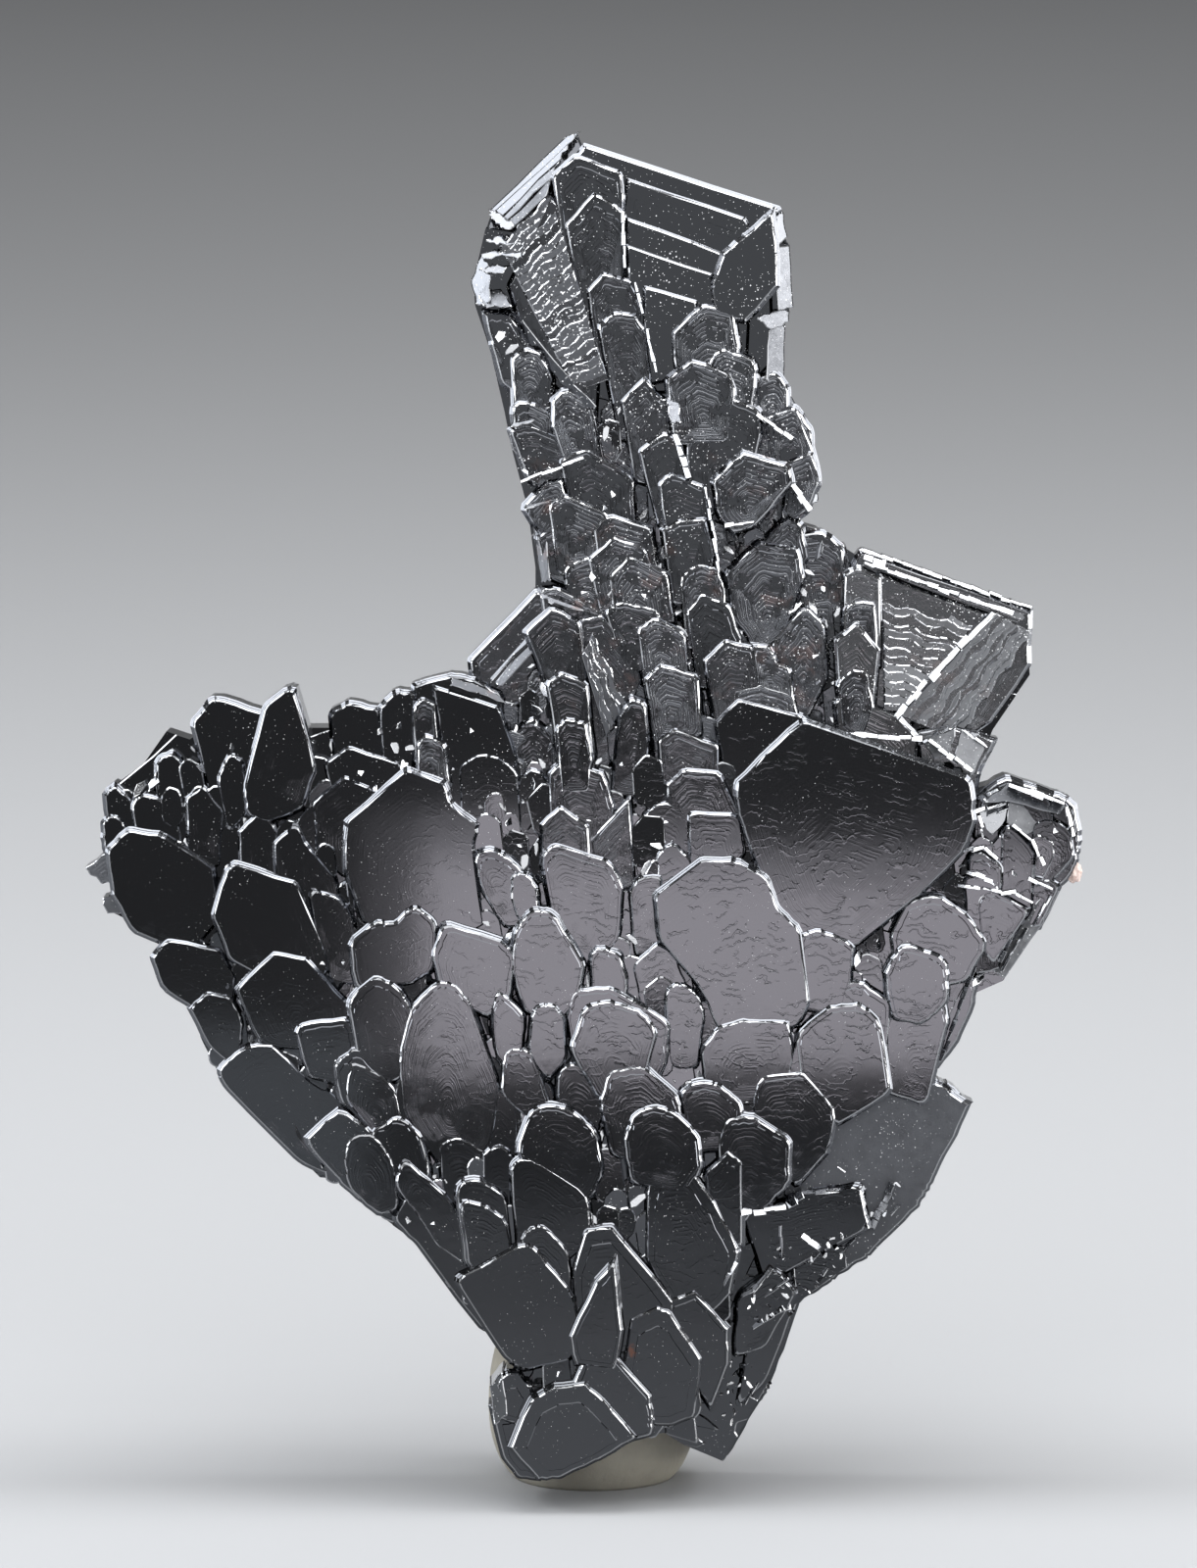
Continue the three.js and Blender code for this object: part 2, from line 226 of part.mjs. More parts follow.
// --- materials ---
const hematite = new THREE.MeshStandardMaterial({ name: "hematite", color: 0x4a4b50, roughness: 0.12, metalness: 1.0 });
const paleMineral = new THREE.MeshStandardMaterial({ name: "pale_mineral", color: 0xd8c4be, roughness: 0.55, metalness: 0.0 });
const putty = new THREE.MeshStandardMaterial({ name: "putty", color: 0xb9b4a4, roughness: 0.75, metalness: 0.0 });

const wasm = await Module();
wasm.setup();

// A closed geometry as a solid that can be joined and cut.
function toSolid(geometry) {
  const bare = geometry.clone();
  bare.deleteAttribute("normal");
  bare.deleteAttribute("uv");
  const merged = mergeVertices(bare, 1e-5);
  const triVerts = Uint32Array.from(merged.index.array);
  const vertProperties = Float32Array.from(merged.attributes.position.array);
  return new wasm.Manifold(new wasm.Mesh({ numProp: 3, vertProperties, triVerts }));
}

// A solid as a geometry that a mesh can show.
function toGeometry(solid) {
  const { vertProperties, triVerts } = solid.getMesh();
  const geometry = new THREE.BufferGeometry();
  geometry.setAttribute("position", new THREE.BufferAttribute(Float32Array.from(vertProperties), 3));
  geometry.setIndex(new THREE.BufferAttribute(Uint32Array.from(triVerts), 1));
  geometry.computeVertexNormals();
  return geometry;
}

// A flat-sided piece with the given outline, from w = back to w = front.
function slab(outline, back, front) {
  const shape = new THREE.Shape(outline.map(([u, v]) => new THREE.Vector2(u, v)));
  const geometry = new THREE.ExtrudeGeometry(shape, { depth: front - back, bevelEnabled: false });
  geometry.translate(0, 0, back);
  return toSolid(geometry);
}

// A solid of revolution about the axis through the focus, from a profile of [radius, w] points.
function coneSolid(profile) {
  const points = profile.map(([radius, w]) => new THREE.Vector2(radius, w));
  const geometry = new THREE.LatheGeometry(points, CONE_SIDES);
  geometry.rotateX(Math.PI / 2);
  geometry.translate(FOCUS.u, FOCUS.v, 0);
  return toSolid(geometry);
}

function distanceFromFocus(u, v) {
  return Math.hypot(u - FOCUS.u, v - FOCUS.v);
}

// w of the stepping front and of the back at a point.
function frontLevel(u, v) {
  return FRONT_SLOPE * (REACH - distanceFromFocus(u, v));
}

function backLevel(u, v) {
  return BACK_AT_RIM + BACK_SLOPE * (REACH - distanceFromFocus(u, v));
}

// The core: the outline, between the cone of the front and the cone of the back.
function buildCore() {
  const rimFront = FRONT_SLOPE * (REACH - CONE_RADIUS) - CORE_DEPTH_BELOW_FRONT;
  const middleFront = FRONT_SLOPE * REACH - CORE_DEPTH_BELOW_FRONT;
  const rimBack = BACK_AT_RIM + BACK_SLOPE * (REACH - CONE_RADIUS);
  const middleBack = BACK_AT_RIM + BACK_SLOPE * REACH;
  const between = coneSolid([[0, middleBack], [CONE_RADIUS, rimBack], [CONE_RADIUS, rimFront], [0, middleFront]]);
  return slab(CORE_OUTLINE, rimBack, middleFront).intersect(between);
}

// One front plate. Its level is the stepping front's at the middle of its highest corner and the next one.
function frontPlate([rise, outline]) {
  const byHeight = [...outline].sort((a, b) => b[1] - a[1]);
  const [first, second] = byHeight;
  const level = frontLevel((first[0] + second[0]) / 2, (first[1] + second[1]) / 2);
  return slab(outline, level - PLATE_ROOT, level + rise);
}

function hexagon(u, v, radius) {
  const corners = [];
  for (let corner = 0; corner < 6; corner += 1) {
    const angle = THREE.MathUtils.degToRad(90 + HEXAGON_TURN_DEG + 60 * corner);
    corners.push([u + radius * Math.cos(angle), v + HEXAGON_STRETCH * radius * Math.sin(angle)]);
  }
  return corners;
}

function backPlate([u, v, radius]) {
  const level = backLevel(u, v);
  return slab(hexagon(u, v, radius), level - BACK_PLATE_RISE, level + BACK_PLATE_ROOT);
}

function joinAll(solids) {
  return solids.reduce((whole, next) => whole.add(next));
}

function buildCrystals() {
  const frontPlates = [
    TOP_CRYSTAL, SPINE, TRUNK_LEFT, TRUNK_RIGHT, CENTRE_LEFT_CRYSTAL, RIGHT_BLOCK, BIG_PLATES, RIGHT_WING,
    LEFT_WING, MIDDLE, LOWER_LEFT, LOWER_RIGHT, TIP,
  ].flat();
  const core = buildCore();
  const backs = BACK_PLATES.map(backPlate).map((plate) => plate.intersect(slab(CORE_OUTLINE, -20, 20)));
  return joinAll([core, ...frontPlates.map(frontPlate), ...backs]);
}

// The grain: a small egg-shaped lump beside the right-hand edge.
function buildGrain() {
  const geometry = new THREE.IcosahedronGeometry(1, 1);
  geometry.scale(GRAIN.radiusU, GRAIN.radiusV, GRAIN.radiusW);
  geometry.translate(GRAIN.u, GRAIN.v, GRAIN.w);
  return toSolid(geometry);
}

// The putty lump, standing on w-up: a round lump with a flat base.
function buildPuttyLump() {
  const profile = new THREE.Path();
  profile.moveTo(0, 0);
  profile.lineTo(PUTTY.baseRadius, 0);
  profile.quadraticCurveTo(PUTTY.radius, PUTTY.bulgeHeight * 0.3, PUTTY.radius, PUTTY.bulgeHeight);
  profile.quadraticCurveTo(PUTTY.radius, PUTTY.height, 0, PUTTY.height);
  const geometry = new THREE.LatheGeometry(profile.getPoints(8), PUTTY.sides);
  geometry.rotateX(Math.PI / 2);
  return toSolid(geometry);
}

// The room that the tip takes in the putty, with the touching gap all round.
function buildTipPocket() {
  const back = backLevel(FOCUS.u, FOCUS.v + TIP_POCKET_REACH) - TOUCH_GAP;
  return toStanding(slab(TIP_POCKET, back, back + 30));
}

// Stands a solid that is drawn face on upright and leans it back.
function toStanding(solid) {
  const geometry = toGeometry(solid);
  geometry.applyMatrix4(new THREE.Matrix4().makeRotationX(THREE.MathUtils.degToRad(90 - LEAN_DEG)));
  geometry.translate(0, 0, TIP_LIFT);
  return toSolid(geometry);
}

function buildPutty() {
  return buildPuttyLump().translate([PUTTY.u, PUTTY.depth, 0]).subtract(buildTipPocket());
}

function namedMesh(name, solid, material) {
  const mesh = new THREE.Mesh(toGeometry(solid), material);
  mesh.name = name;
  return mesh;
}

// --- assembly ---
const crystals = namedMesh("hematite_crystals", buildCrystals(), hematite);
const grain = namedMesh("pale_grain", buildGrain(), paleMineral);
const specimen = new THREE.Group();
specimen.add(crystals, grain);
specimen.rotation.x = THREE.MathUtils.degToRad(90 - LEAN_DEG);
specimen.position.z = TIP_LIFT;

const group = new THREE.Group();
group.add(specimen, namedMesh("putty_lump", buildPutty(), putty));
group.position.set(-MIDDLE_X, -MIDDLE_Y, 0);

export default group;
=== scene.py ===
"""Hematite specimen: a fan of flat mirror-bright plates grown together, its tip in a lump of putty.

The crystal group is drawn face on, in millimetres: u runs right, v runs up and w runs out towards the viewer.
Plate faces are square to w, apart from the few that lean to catch the light. The group is then stood upright,
leaned back and moved to where the frame has it.
"""

import logging
import math
import random
from dataclasses import dataclass, field, replace
from enum import Enum

import bmesh
import bpy
from mathutils import Matrix, Vector, noise
from mathutils.geometry import tessellate_polygon


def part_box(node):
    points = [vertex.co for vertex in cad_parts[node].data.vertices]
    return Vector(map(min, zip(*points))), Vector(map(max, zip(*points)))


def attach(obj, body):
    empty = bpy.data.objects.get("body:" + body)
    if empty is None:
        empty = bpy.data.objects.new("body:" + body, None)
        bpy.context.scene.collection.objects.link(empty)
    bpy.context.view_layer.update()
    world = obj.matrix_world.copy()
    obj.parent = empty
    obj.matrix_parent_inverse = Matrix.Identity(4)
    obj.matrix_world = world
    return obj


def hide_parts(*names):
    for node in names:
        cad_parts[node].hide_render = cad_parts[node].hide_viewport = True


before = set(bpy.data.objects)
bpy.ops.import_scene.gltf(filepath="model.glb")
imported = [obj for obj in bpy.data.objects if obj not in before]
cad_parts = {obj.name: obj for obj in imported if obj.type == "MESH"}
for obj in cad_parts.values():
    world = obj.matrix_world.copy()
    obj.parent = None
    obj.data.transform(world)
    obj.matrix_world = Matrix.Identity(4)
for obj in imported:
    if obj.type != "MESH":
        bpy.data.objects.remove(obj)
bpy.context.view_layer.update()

Point = tuple[float, float]
Outline = list[Point]
Point3 = tuple[float, float, float]
Colour = tuple[float, float, float, float]
PlateTable = list[tuple[float, Outline]]
FacetTable = list[tuple[float, float, float, Outline]]
StrokeTable = list[tuple[Point, Point, float, float]]

LOG = logging.getLogger("hematite_specimen")
MM = 0.001
SEED = 4127

# --- what the crystals' mesh keeps for their material: how far in from its plate's rim a corner lies, and how
# --- strong the growth lines of a face are, how dull it is, and how much painted highlight brightens it ---
RING = "ring"
LINES = "lines"
DULL = "dull"
GLINT = "glint"

# --- how a plate's faces are told apart until its growth lines are written ---
FRONT_FACE = 1.0
BEVEL_FACE = 2.0

# --- limits that keep small and sharp shapes sound, in mm ---
TINY = 1e-6
SHARP_CORNER = 0.7
SHARE_OF_EDGE = 0.4
LEAST_TURN = 0.002

# --- the group's driving dimensions, in mm and degrees, as in the frame's solids ---
LEAN_DEG = 5.0
FOCUS = (1.0, 5.0)
REACH = 64.0
FRONT_SLOPE = 0.11
BACK_SLOPE = 0.05
BACK_AT_RIM = -4.0
TIP_LIFT = 0.1
PUTTY_U = 0.25
PUTTY_DEPTH = 1.2
PUTTY_RADIUS = 5.6

# --- how far behind its face the root of a plate lies, in mm ---
PLATE_ROOT = 3.2

# --- the small six-sided plates: where the first corner is, how far corners stray, and how long they are ---
HEXAGON_START_DEG = 102.0
HEXAGON_SWAY_DEG = 9.0
HEXAGON_REACHES = (0.85, 1.12)
HEXAGON_LENGTH = 1.18

# --- where no small plates grew, and the flat base plate lies bare ---
QUIET_GROUND: Outline = [
    (8.6, 20.6), (19.4, 20.8), (19, 17), (15, 11.6), (11.4, 9.2), (9, 0), (4.4, 0), (5.8, 6), (7.2, 12),
    (8.4, 16.4),
]
BASE_PLATE: Outline = [
    (9, 20.6), (12, 20), (17.8, 20.8), (19.4, 19.7), (17.6, 16), (16.8, 14.6), (14.2, 12), (12.4, 10.8),
    (10.6, 9.6), (9.2, 5.4), (8.6, 4.4), (7, 1.8), (5.2, 2.6), (4.6, 9), (5.6, 14), (7.2, 18.6),
]

# --- outline of the core, clockwise from the top peak ---
CORE_OUTLINE: Outline = [
    (-0.55, 69.3), (-0.2, 68.5), (9.7, 65.3), (10.3, 63.4), (10.3, 60), (9.8, 58.6), (9.9, 56.2),
    (11.2, 53.9), (11.6, 51), (10.8, 49.3), (12.8, 48.2), (13.9, 47.5), (22.4, 44.6), (22.6, 41.5),
    (20.7, 38.7), (19.4, 35.6), (21.2, 36.1), (24.4, 35), (24.9, 33.4), (24.1, 32.3), (24.1, 30.6),
    (23.2, 28.9), (21.2, 25.9), (19.6, 25.2), (18.8, 23.2), (17.4, 20.9), (19.2, 19.7), (17.3, 15.8),
    (16.7, 14.6), (14.2, 12.1), (12.3, 10.8), (10.4, 9.4), (9.2, 5.6), (8.4, 4.2), (6.9, 1.5), (5, 2.3),
    (3.9, 3), (2.6, 2.9), (0.5, 2), (-1.5, 1.1), (-2.6, 0.9), (-3.9, 1.6), (-4.1, 3), (-4.8, 4.3),
    (-4.5, 5.7), (-3.7, 6.3), (-6.8, 10), (-8.8, 12.7), (-10.2, 13.7), (-12.5, 15.8), (-13.7, 15.9),
    (-15.8, 18), (-18.6, 20.6), (-19.7, 22.8), (-20.5, 24.6), (-22.1, 26.6), (-21.7, 28.3), (-23.2, 28.8),
    (-24.6, 29.5), (-24, 30.8), (-25.4, 31.4), (-24.4, 32.8), (-24.6, 35.6), (-22.8, 36.9), (-21.6, 38.6),
    (-20.4, 38.2), (-18.9, 39.2), (-15.2, 38.8), (-13.2, 38.8), (-9.2, 40.1), (-6, 41.1), (-5, 40.9),
    (-5.8, 42), (-2.7, 45.3), (-2.7, 47), (-3.1, 50), (-3.9, 53), (-4.3, 55), (-5, 58), (-5.8, 60.4),
    (-5.9, 61.6), (-5.3, 64.2), (-5, 65.1),
]

# --- the front plates, by place: how far the face stands out of the stepping front, and its outline ---
TOP_CRYSTAL: PlateTable = [
    (0.3, [(-0.2, 68.5), (9.7, 65.3), (9.3, 63.2), (9.4, 57.5), (5, 54.5), (-3.2, 56.5), (-3.9, 60.8),
        (-1.7, 66.2)]),
    (0.5, [(2, 66.8), (8, 64.8), (8.4, 63.9), (8, 57), (1.6, 57), (1.7, 64)]),
    (0.7, [(2, 64.8), (6.9, 63), (7.2, 57.5), (2, 57.5)]),
    (0.8, [(2, 63.4), (6.3, 62), (6.6, 58), (2.2, 58)]),
    (0.9, [(2.9, 61.3), (5.5, 60.6), (5.9, 58), (2.8, 57.6)]),
    (1.5, [(9.4, 65.1), (8, 63.9), (6.9, 63), (6.35, 61.6), (6.5, 60.5), (8, 60.1), (9.65, 61.4), (9.6, 63)]),
    (0.6, [(-1.9, 65.8), (-4, 61.4), (-3.1, 58.9), (-1.9, 57.5), (0.4, 55.4), (0.6, 58.5), (0, 61),
        (-1.3, 65.2)]),
]
SPINE: PlateTable = [
    (0.9, [(-1.8, 67), (-0.6, 68), (1.6, 67.2), (1.8, 66), (1.6, 63.6), (-1.1, 63.6)]),
    (0.9, [(-1.15, 64.5), (0.3, 66.1), (1.4, 65.5), (1.9, 65), (1.8, 62.2), (1.6, 60.6), (-0.1, 60.4)]),
    (0.9, [(0, 61.2), (0.8, 62), (2.2, 61.6), (2.7, 60.2), (2.6, 58.6), (0.5, 58.4)]),
    (0.9, [(0.5, 59.3), (1.3, 60), (2.4, 59.9), (2.9, 59.1), (3.3, 56.3), (3.2, 54.8), (1.6, 54.8)]),
    (0.9, [(1.7, 55.5), (2.9, 56.7), (3.5, 55.8), (4.1, 55.5), (4.2, 53.4), (3.8, 52.4), (2.4, 52.6)]),
    (0.9, [(2.6, 53), (3.9, 53.9), (4.7, 53.5), (5.1, 51.8), (5.2, 50.4), (3.6, 50.4)]),
    (0.9, [(3.6, 51.3), (4.2, 51.8), (5.9, 51.2), (6.4, 48.2), (6.9, 46.5), (6.4, 45.2), (4.6, 45.6),
        (4.1, 48)]),
    (1, [(3.8, 48.9), (4.6, 49.4), (6, 49.5), (6.4, 47.8), (6.2, 46.4), (4.3, 46.4)]),
    (0.9, [(5, 44.8), (5.8, 45.7), (7.2, 45.1), (7.8, 43.6), (7.6, 42.2), (5.6, 42.2)]),
    (1, [(5.9, 42.3), (7, 43.3), (8.4, 43), (8.8, 40.9), (8.6, 39.4), (6.6, 39.4)]),
]
TRUNK_LEFT: PlateTable = [
    (0.3, [(-5.3, 60.1), (-4, 59.9), (-3, 58.3), (-2.6, 56.6), (-4.4, 56.4), (-4.9, 58.4)]),
    (0.6, [(-3.9, 57.7), (-3.1, 58.2), (-2.4, 57.9), (-1.8, 56.6), (-2, 55.2), (-3.8, 55.2)]),
    (1, [(-1.8, 55.6), (-1.2, 56.1), (0.1, 55.5), (0.8, 53.4), (-1, 53.2), (-1.8, 54.4)]),
    (0.6, [(-4, 54), (-3, 54.3), (0, 53.1), (0.2, 51.6), (-3, 51.4)]),
    (0.8, [(-1.4, 52.5), (-0.1, 53.1), (2.3, 51.6), (2.4, 50), (-0.6, 50)]),
    (0.8, [(-3.3, 50.1), (-2.1, 51.4), (-1.4, 51.5), (-1, 50.2), (-1.6, 48.8), (-2.6, 48.9)]),
    (0.9, [(-2, 50.2), (-1.2, 50.7), (1, 49.8), (1.2, 48.2), (-1.6, 48)]),
    (0.9, [(0.3, 49.1), (1.1, 49.7), (3.2, 49), (3.6, 47.4), (0.6, 47.2)]),
    (0.9, [(1.1, 46.6), (2.1, 47.6), (4, 46.8), (4.4, 45.2), (1.4, 44.8)]),
    (0.7, [(-1.2, 47), (0, 47.6), (1, 47), (1.2, 45.2), (-0.8, 45.2)]),
    (0.9, [(2.5, 43.9), (3.4, 44.5), (4.9, 43.7), (5.2, 42), (3, 41.8)]),
    (0.9, [(2.9, 41.4), (3.7, 42.1), (5.6, 41.5), (5.8, 39.6), (3.4, 39.4)]),
]
TRUNK_RIGHT: PlateTable = [
    (1, [(4.3, 59), (5.8, 60.4), (7.4, 60.1), (7.7, 58.3), (7.4, 56.8), (4.6, 56.6)]),
    (1, [(6.2, 57.6), (6.8, 58.2), (8.4, 57.6), (8.6, 57.1), (8.3, 55.6), (6.4, 55.4)]),
    (1.2, [(4, 56.6), (5.3, 57.6), (7.2, 56.9), (7.5, 56), (7.2, 54.2), (4.4, 54.2)]),
    (1, [(5, 53.3), (7.1, 55.7), (8.7, 55.1), (8.8, 54), (8.2, 51.8), (6.2, 50.8), (5.2, 51.2)]),
    (1.6, [(6.4, 51.5), (7.9, 52.9), (10.2, 52.2), (10.4, 51.4), (8.5, 49.5), (7.4, 49.2), (6.6, 50)]),
    (0.5, [(9.4, 54.8), (10.6, 55.2), (11.5, 53), (11.8, 51.4), (11.2, 49.9), (9.6, 50.2)]),
    (1, [(7, 46.8), (8.6, 48.3), (10.1, 48.1), (10.7, 48), (11, 46.5), (9.9, 44.4), (8.6, 43.8), (7.4, 45)]),
    (0.8, [(9.4, 43.2), (10.9, 44.9), (11.3, 44.9), (12, 44.2), (12.2, 42), (11.2, 40.8), (9.8, 41.2)]),
    (0.5, [(10.4, 48.7), (12, 48.8), (13, 48), (13, 46), (11, 45.4)]),
]
CENTRE_LEFT_CRYSTAL: PlateTable = [
    (0.2, [(-2.6, 45.8), (-6, 42.3), (-5.7, 41.3), (-4.4, 40.6), (-2.4, 42), (0.6, 43.4), (0.7, 44.7)]),
    (1.2, [(-3.2, 43.8), (-1.8, 45), (-0.4, 44.2), (0, 41.2), (-0.6, 40.4), (-1.6, 40.6)]),
    (1.2, [(-2.1, 41.2), (-1.4, 41.7), (-0.1, 41.2), (0.3, 38), (0.2, 37), (-1.4, 37.2)]),
    (0.7, [(-0.4, 44.4), (0.7, 44.6), (2.3, 42.9), (2.7, 41.3), (1, 38.3), (0, 38.2)]),
    (1, [(1.6, 39.5), (2.2, 40.4), (2.9, 40.1), (3.1, 38.1), (2.8, 36.4), (1.2, 36.6)]),
    (1, [(-2, 36.6), (-1.1, 37.3), (0.7, 36.6), (1.3, 35.2), (1, 33.8), (-1.8, 33.6)]),
    (1, [(-2.4, 34), (-1.4, 34.9), (0, 33.9), (0.2, 32.2), (-2.2, 32)]),
    (0.8, [(0.1, 33.3), (2.1, 35.3), (2.4, 32), (0.4, 31.6)]),
    (0.8, [(3.6, 38.2), (4.4, 38.8), (6.6, 38), (6.8, 36.4), (3.8, 36.2)]),
    (0.9, [(4, 36), (4.9, 36.8), (6.7, 36.6), (7.9, 34.4), (7, 32.8), (4.2, 33)]),
]
RIGHT_BLOCK: PlateTable = [
    (-0.1, [(14, 47.8), (22.6, 44.8), (22.5, 42), (20.6, 39.2), (17.6, 38.6), (15, 38.9), (13.2, 41.5),
        (13.2, 46.6)]),
    (0.6, [(14.9, 46.6), (20.3, 44.6), (18.4, 42), (15.8, 39.5), (15, 38.9), (14.4, 40.4), (14.8, 43)]),
    (0.9, [(13.1, 46.7), (13.8, 47), (14.9, 46.4), (14.9, 43.2), (13, 43.2)]),
    (1.1, [(12.6, 43.3), (13.7, 44.2), (14.8, 42.8), (14.4, 39.2), (12.9, 39.6)]),
    (0.9, [(12.6, 40.2), (13, 40.6), (15.8, 39.4), (16.8, 38.5), (16.4, 37), (12.8, 37.6)]),
    (0.2, [(16.8, 38.6), (18.4, 38.9), (20.7, 38.2), (19.9, 36.5), (19.4, 35.4), (17.2, 36.2)]),
]
BIG_PLATES: PlateTable = [
    (1, [(6.5, 39.2), (7.6, 40.3), (10.9, 39.5), (12, 38.6), (11.6, 36.6), (7.4, 35.6), (6.8, 37.6)]),
    (1.7, [(3.4, 30.4), (5.7, 32.2), (7.5, 32.2), (9.1, 31.3), (9.6, 29.8), (10.7, 28.7), (11.2, 25),
        (10.6, 24), (6.8, 23.6), (5.6, 26), (3.6, 28.3)]),
    (0.9, [(2.1, 30.6), (2.6, 31.3), (3.7, 31.4), (3.8, 28.8), (2.4, 28.6)]),
    (0.9, [(2.3, 26.9), (3.5, 28), (4.4, 27.4), (5, 25.9), (5.9, 24.5), (5.6, 22.8), (4.2, 22.8),
        (2.6, 25.2)]),
    (1.1, [(5.8, 22.6), (6.6, 23.7), (7.9, 24.1), (10.2, 24), (10.4, 22.3), (10, 20.8), (6, 20.8)]),
]
LARGEST_PLATE: PlateTable = [
    (1.8, [(7.5, 36), (9, 37.6), (10.9, 39.3), (19.2, 36.4), (19.5, 36), (19.6, 34), (19, 32.6), (16.8, 30.5),
        (13.6, 28), (10.9, 28.5), (9.6, 29.9), (8.2, 33), (7.7, 34.5)]),
]
RIGHT_WING: PlateTable = [
    (1.2, [(10.8, 28.4), (11.7, 28.7), (13.5, 27.9), (13.4, 26.4), (12.8, 25.2), (10.8, 25.4)]),
    (1.2, [(15.4, 28.4), (16.2, 30), (17.7, 30.45), (19.3, 29.4), (20.3, 28), (19.2, 26), (15.8, 26.2)]),
    (1.5, [(15.1, 26.6), (16, 27.95), (17.8, 27.4), (18.3, 26.8), (18.2, 25.2), (17, 24.4), (15.4, 24.6)]),
    (1, [(12.3, 25.6), (13.7, 26.1), (15.4, 25), (15.2, 23.6), (12.6, 23.6)]),
    (1.4, [(10.6, 23.4), (12.2, 24.75), (13.8, 24.95), (14.8, 24.1), (15.4, 20.8), (12.6, 19.4),
        (10.8, 21.4)]),
    (1.1, [(15.1, 24.2), (16, 25.2), (18, 25.3), (18.3, 24), (17.2, 20.8), (15.2, 21.2)]),
    (0.5, [(18, 26.6), (19.8, 26.2), (19.5, 24.5), (18.6, 22.6), (17.6, 21.4)]),
    (0.3, [(19.8, 35.2), (21.2, 36.3), (23.9, 35.4), (24.8, 35), (25.1, 33.2), (24.9, 32), (24.5, 31.1),
        (21.6, 30.6), (19.6, 32.2)]),
    (0.9, [(21.1, 33.7), (21.5, 33.9), (22.8, 32.6), (22.6, 30.8), (21, 31.2)]),
    (1, [(19.4, 32.4), (19.9, 32.65), (21.1, 31.9), (21, 30.6), (19.4, 29.4)]),
    (1, [(19.8, 30.3), (20.6, 30.65), (22.5, 29.6), (20.6, 26.8), (20, 28.2)]),
    (0.5, [(21.6, 30.8), (22.7, 31.3), (24.1, 30.9), (23, 28.6), (21.9, 29)]),
]
LEFT_WING: PlateTable = [
    (0.9, [(-20.2, 39.1), (-19.2, 40.3), (-18.8, 40.3), (-16.5, 39.55), (-16.2, 37.8), (-17.6, 36.2),
        (-19.2, 36.4)]),
    (1.5, [(-16.4, 40), (-15.3, 40.85), (-15, 40.8), (-13.9, 37), (-14.6, 35.2), (-16.4, 34.6), (-17.4, 35),
        (-17.5, 36.1)]),
    (0.6, [(-22, 37.2), (-21.2, 37.6), (-20.4, 36.6), (-20.4, 35), (-22, 35.2)]),
    (0.9, [(-20.5, 35.3), (-19.6, 35.9), (-18.6, 34.6), (-18.8, 33), (-20.4, 33.2)]),
    (0.7, [(-24.7, 35.4), (-24.2, 35.9), (-23.3, 35.2), (-22.8, 33.6), (-24.4, 33.4)]),
    (1.4, [(-24.5, 32.7), (-23.4, 33.7), (-21.7, 33.4), (-19.1, 31.8), (-18.8, 29.4), (-20.4, 28),
        (-23.2, 28.6), (-24.2, 30.4)]),
    (1.5, [(-19.1, 29.4), (-18.4, 31.6), (-18, 32), (-14.8, 31), (-13.2, 27.3), (-13.6, 26.4), (-15.6, 26.2),
        (-18.2, 27.4)]),
    (0.9, [(-17.8, 33.6), (-16.7, 34.7), (-15.9, 33.8), (-15.6, 32.2), (-17.6, 31.8)]),
    (1, [(-16, 33), (-14.9, 34), (-14.3, 32.9), (-12.8, 31.2), (-12.6, 29.2), (-14.2, 28.6), (-15.8, 30.6)]),
    (0.9, [(-14, 35.1), (-12.4, 36.4), (-11, 35.8), (-10.8, 34.4), (-12.4, 32.6), (-13.8, 33.2)]),
    (0.8, [(-13.4, 37), (-12.2, 37.9), (-9.5, 37), (-9.4, 35.6), (-12.6, 35)]),
    (1.6, [(-12.3, 34.1), (-9.2, 36.8), (-7.3, 36.1), (-7, 35), (-5.6, 34), (-5.9, 33), (-5.3, 29.2),
        (-7, 28.4), (-9.8, 28.6), (-11.4, 29.4), (-12.4, 31.8)]),
    (0.7, [(-13.1, 39.6), (-12.2, 40.15), (-10.7, 39.75), (-10.5, 38.5), (-10.6, 37), (-12.8, 37)]),
    (0.8, [(-10.6, 39.9), (-9.8, 40.7), (-8.9, 40.6), (-8.8, 39), (-9, 37.6), (-10.4, 37.6)]),
    (0.6, [(-8.9, 41), (-7, 41.5), (-5.8, 41.3), (-4.4, 40.5), (-4.2, 39.2), (-8.6, 39.6)]),
    (1, [(-7.9, 41), (-4.5, 39.9), (-3.6, 37.6), (-4.6, 36.4), (-6.9, 35.8), (-7.5, 38.5)]),
    (1, [(-22.2, 27.2), (-21.4, 28.1), (-18.8, 27.6), (-18, 26.2), (-18.2, 24.6), (-19.8, 24.4),
        (-21.6, 25.6)]),
    (1, [(-20.3, 24.6), (-19.4, 25.4), (-18.2, 25.2), (-17.6, 24), (-17.8, 22.6), (-19.2, 22.6)]),
    (1.2, [(-17.9, 25.6), (-16, 27.5), (-14.2, 27.1), (-12.2, 25), (-12.2, 24.2), (-14.4, 23.4),
        (-16.6, 23.6)]),
]
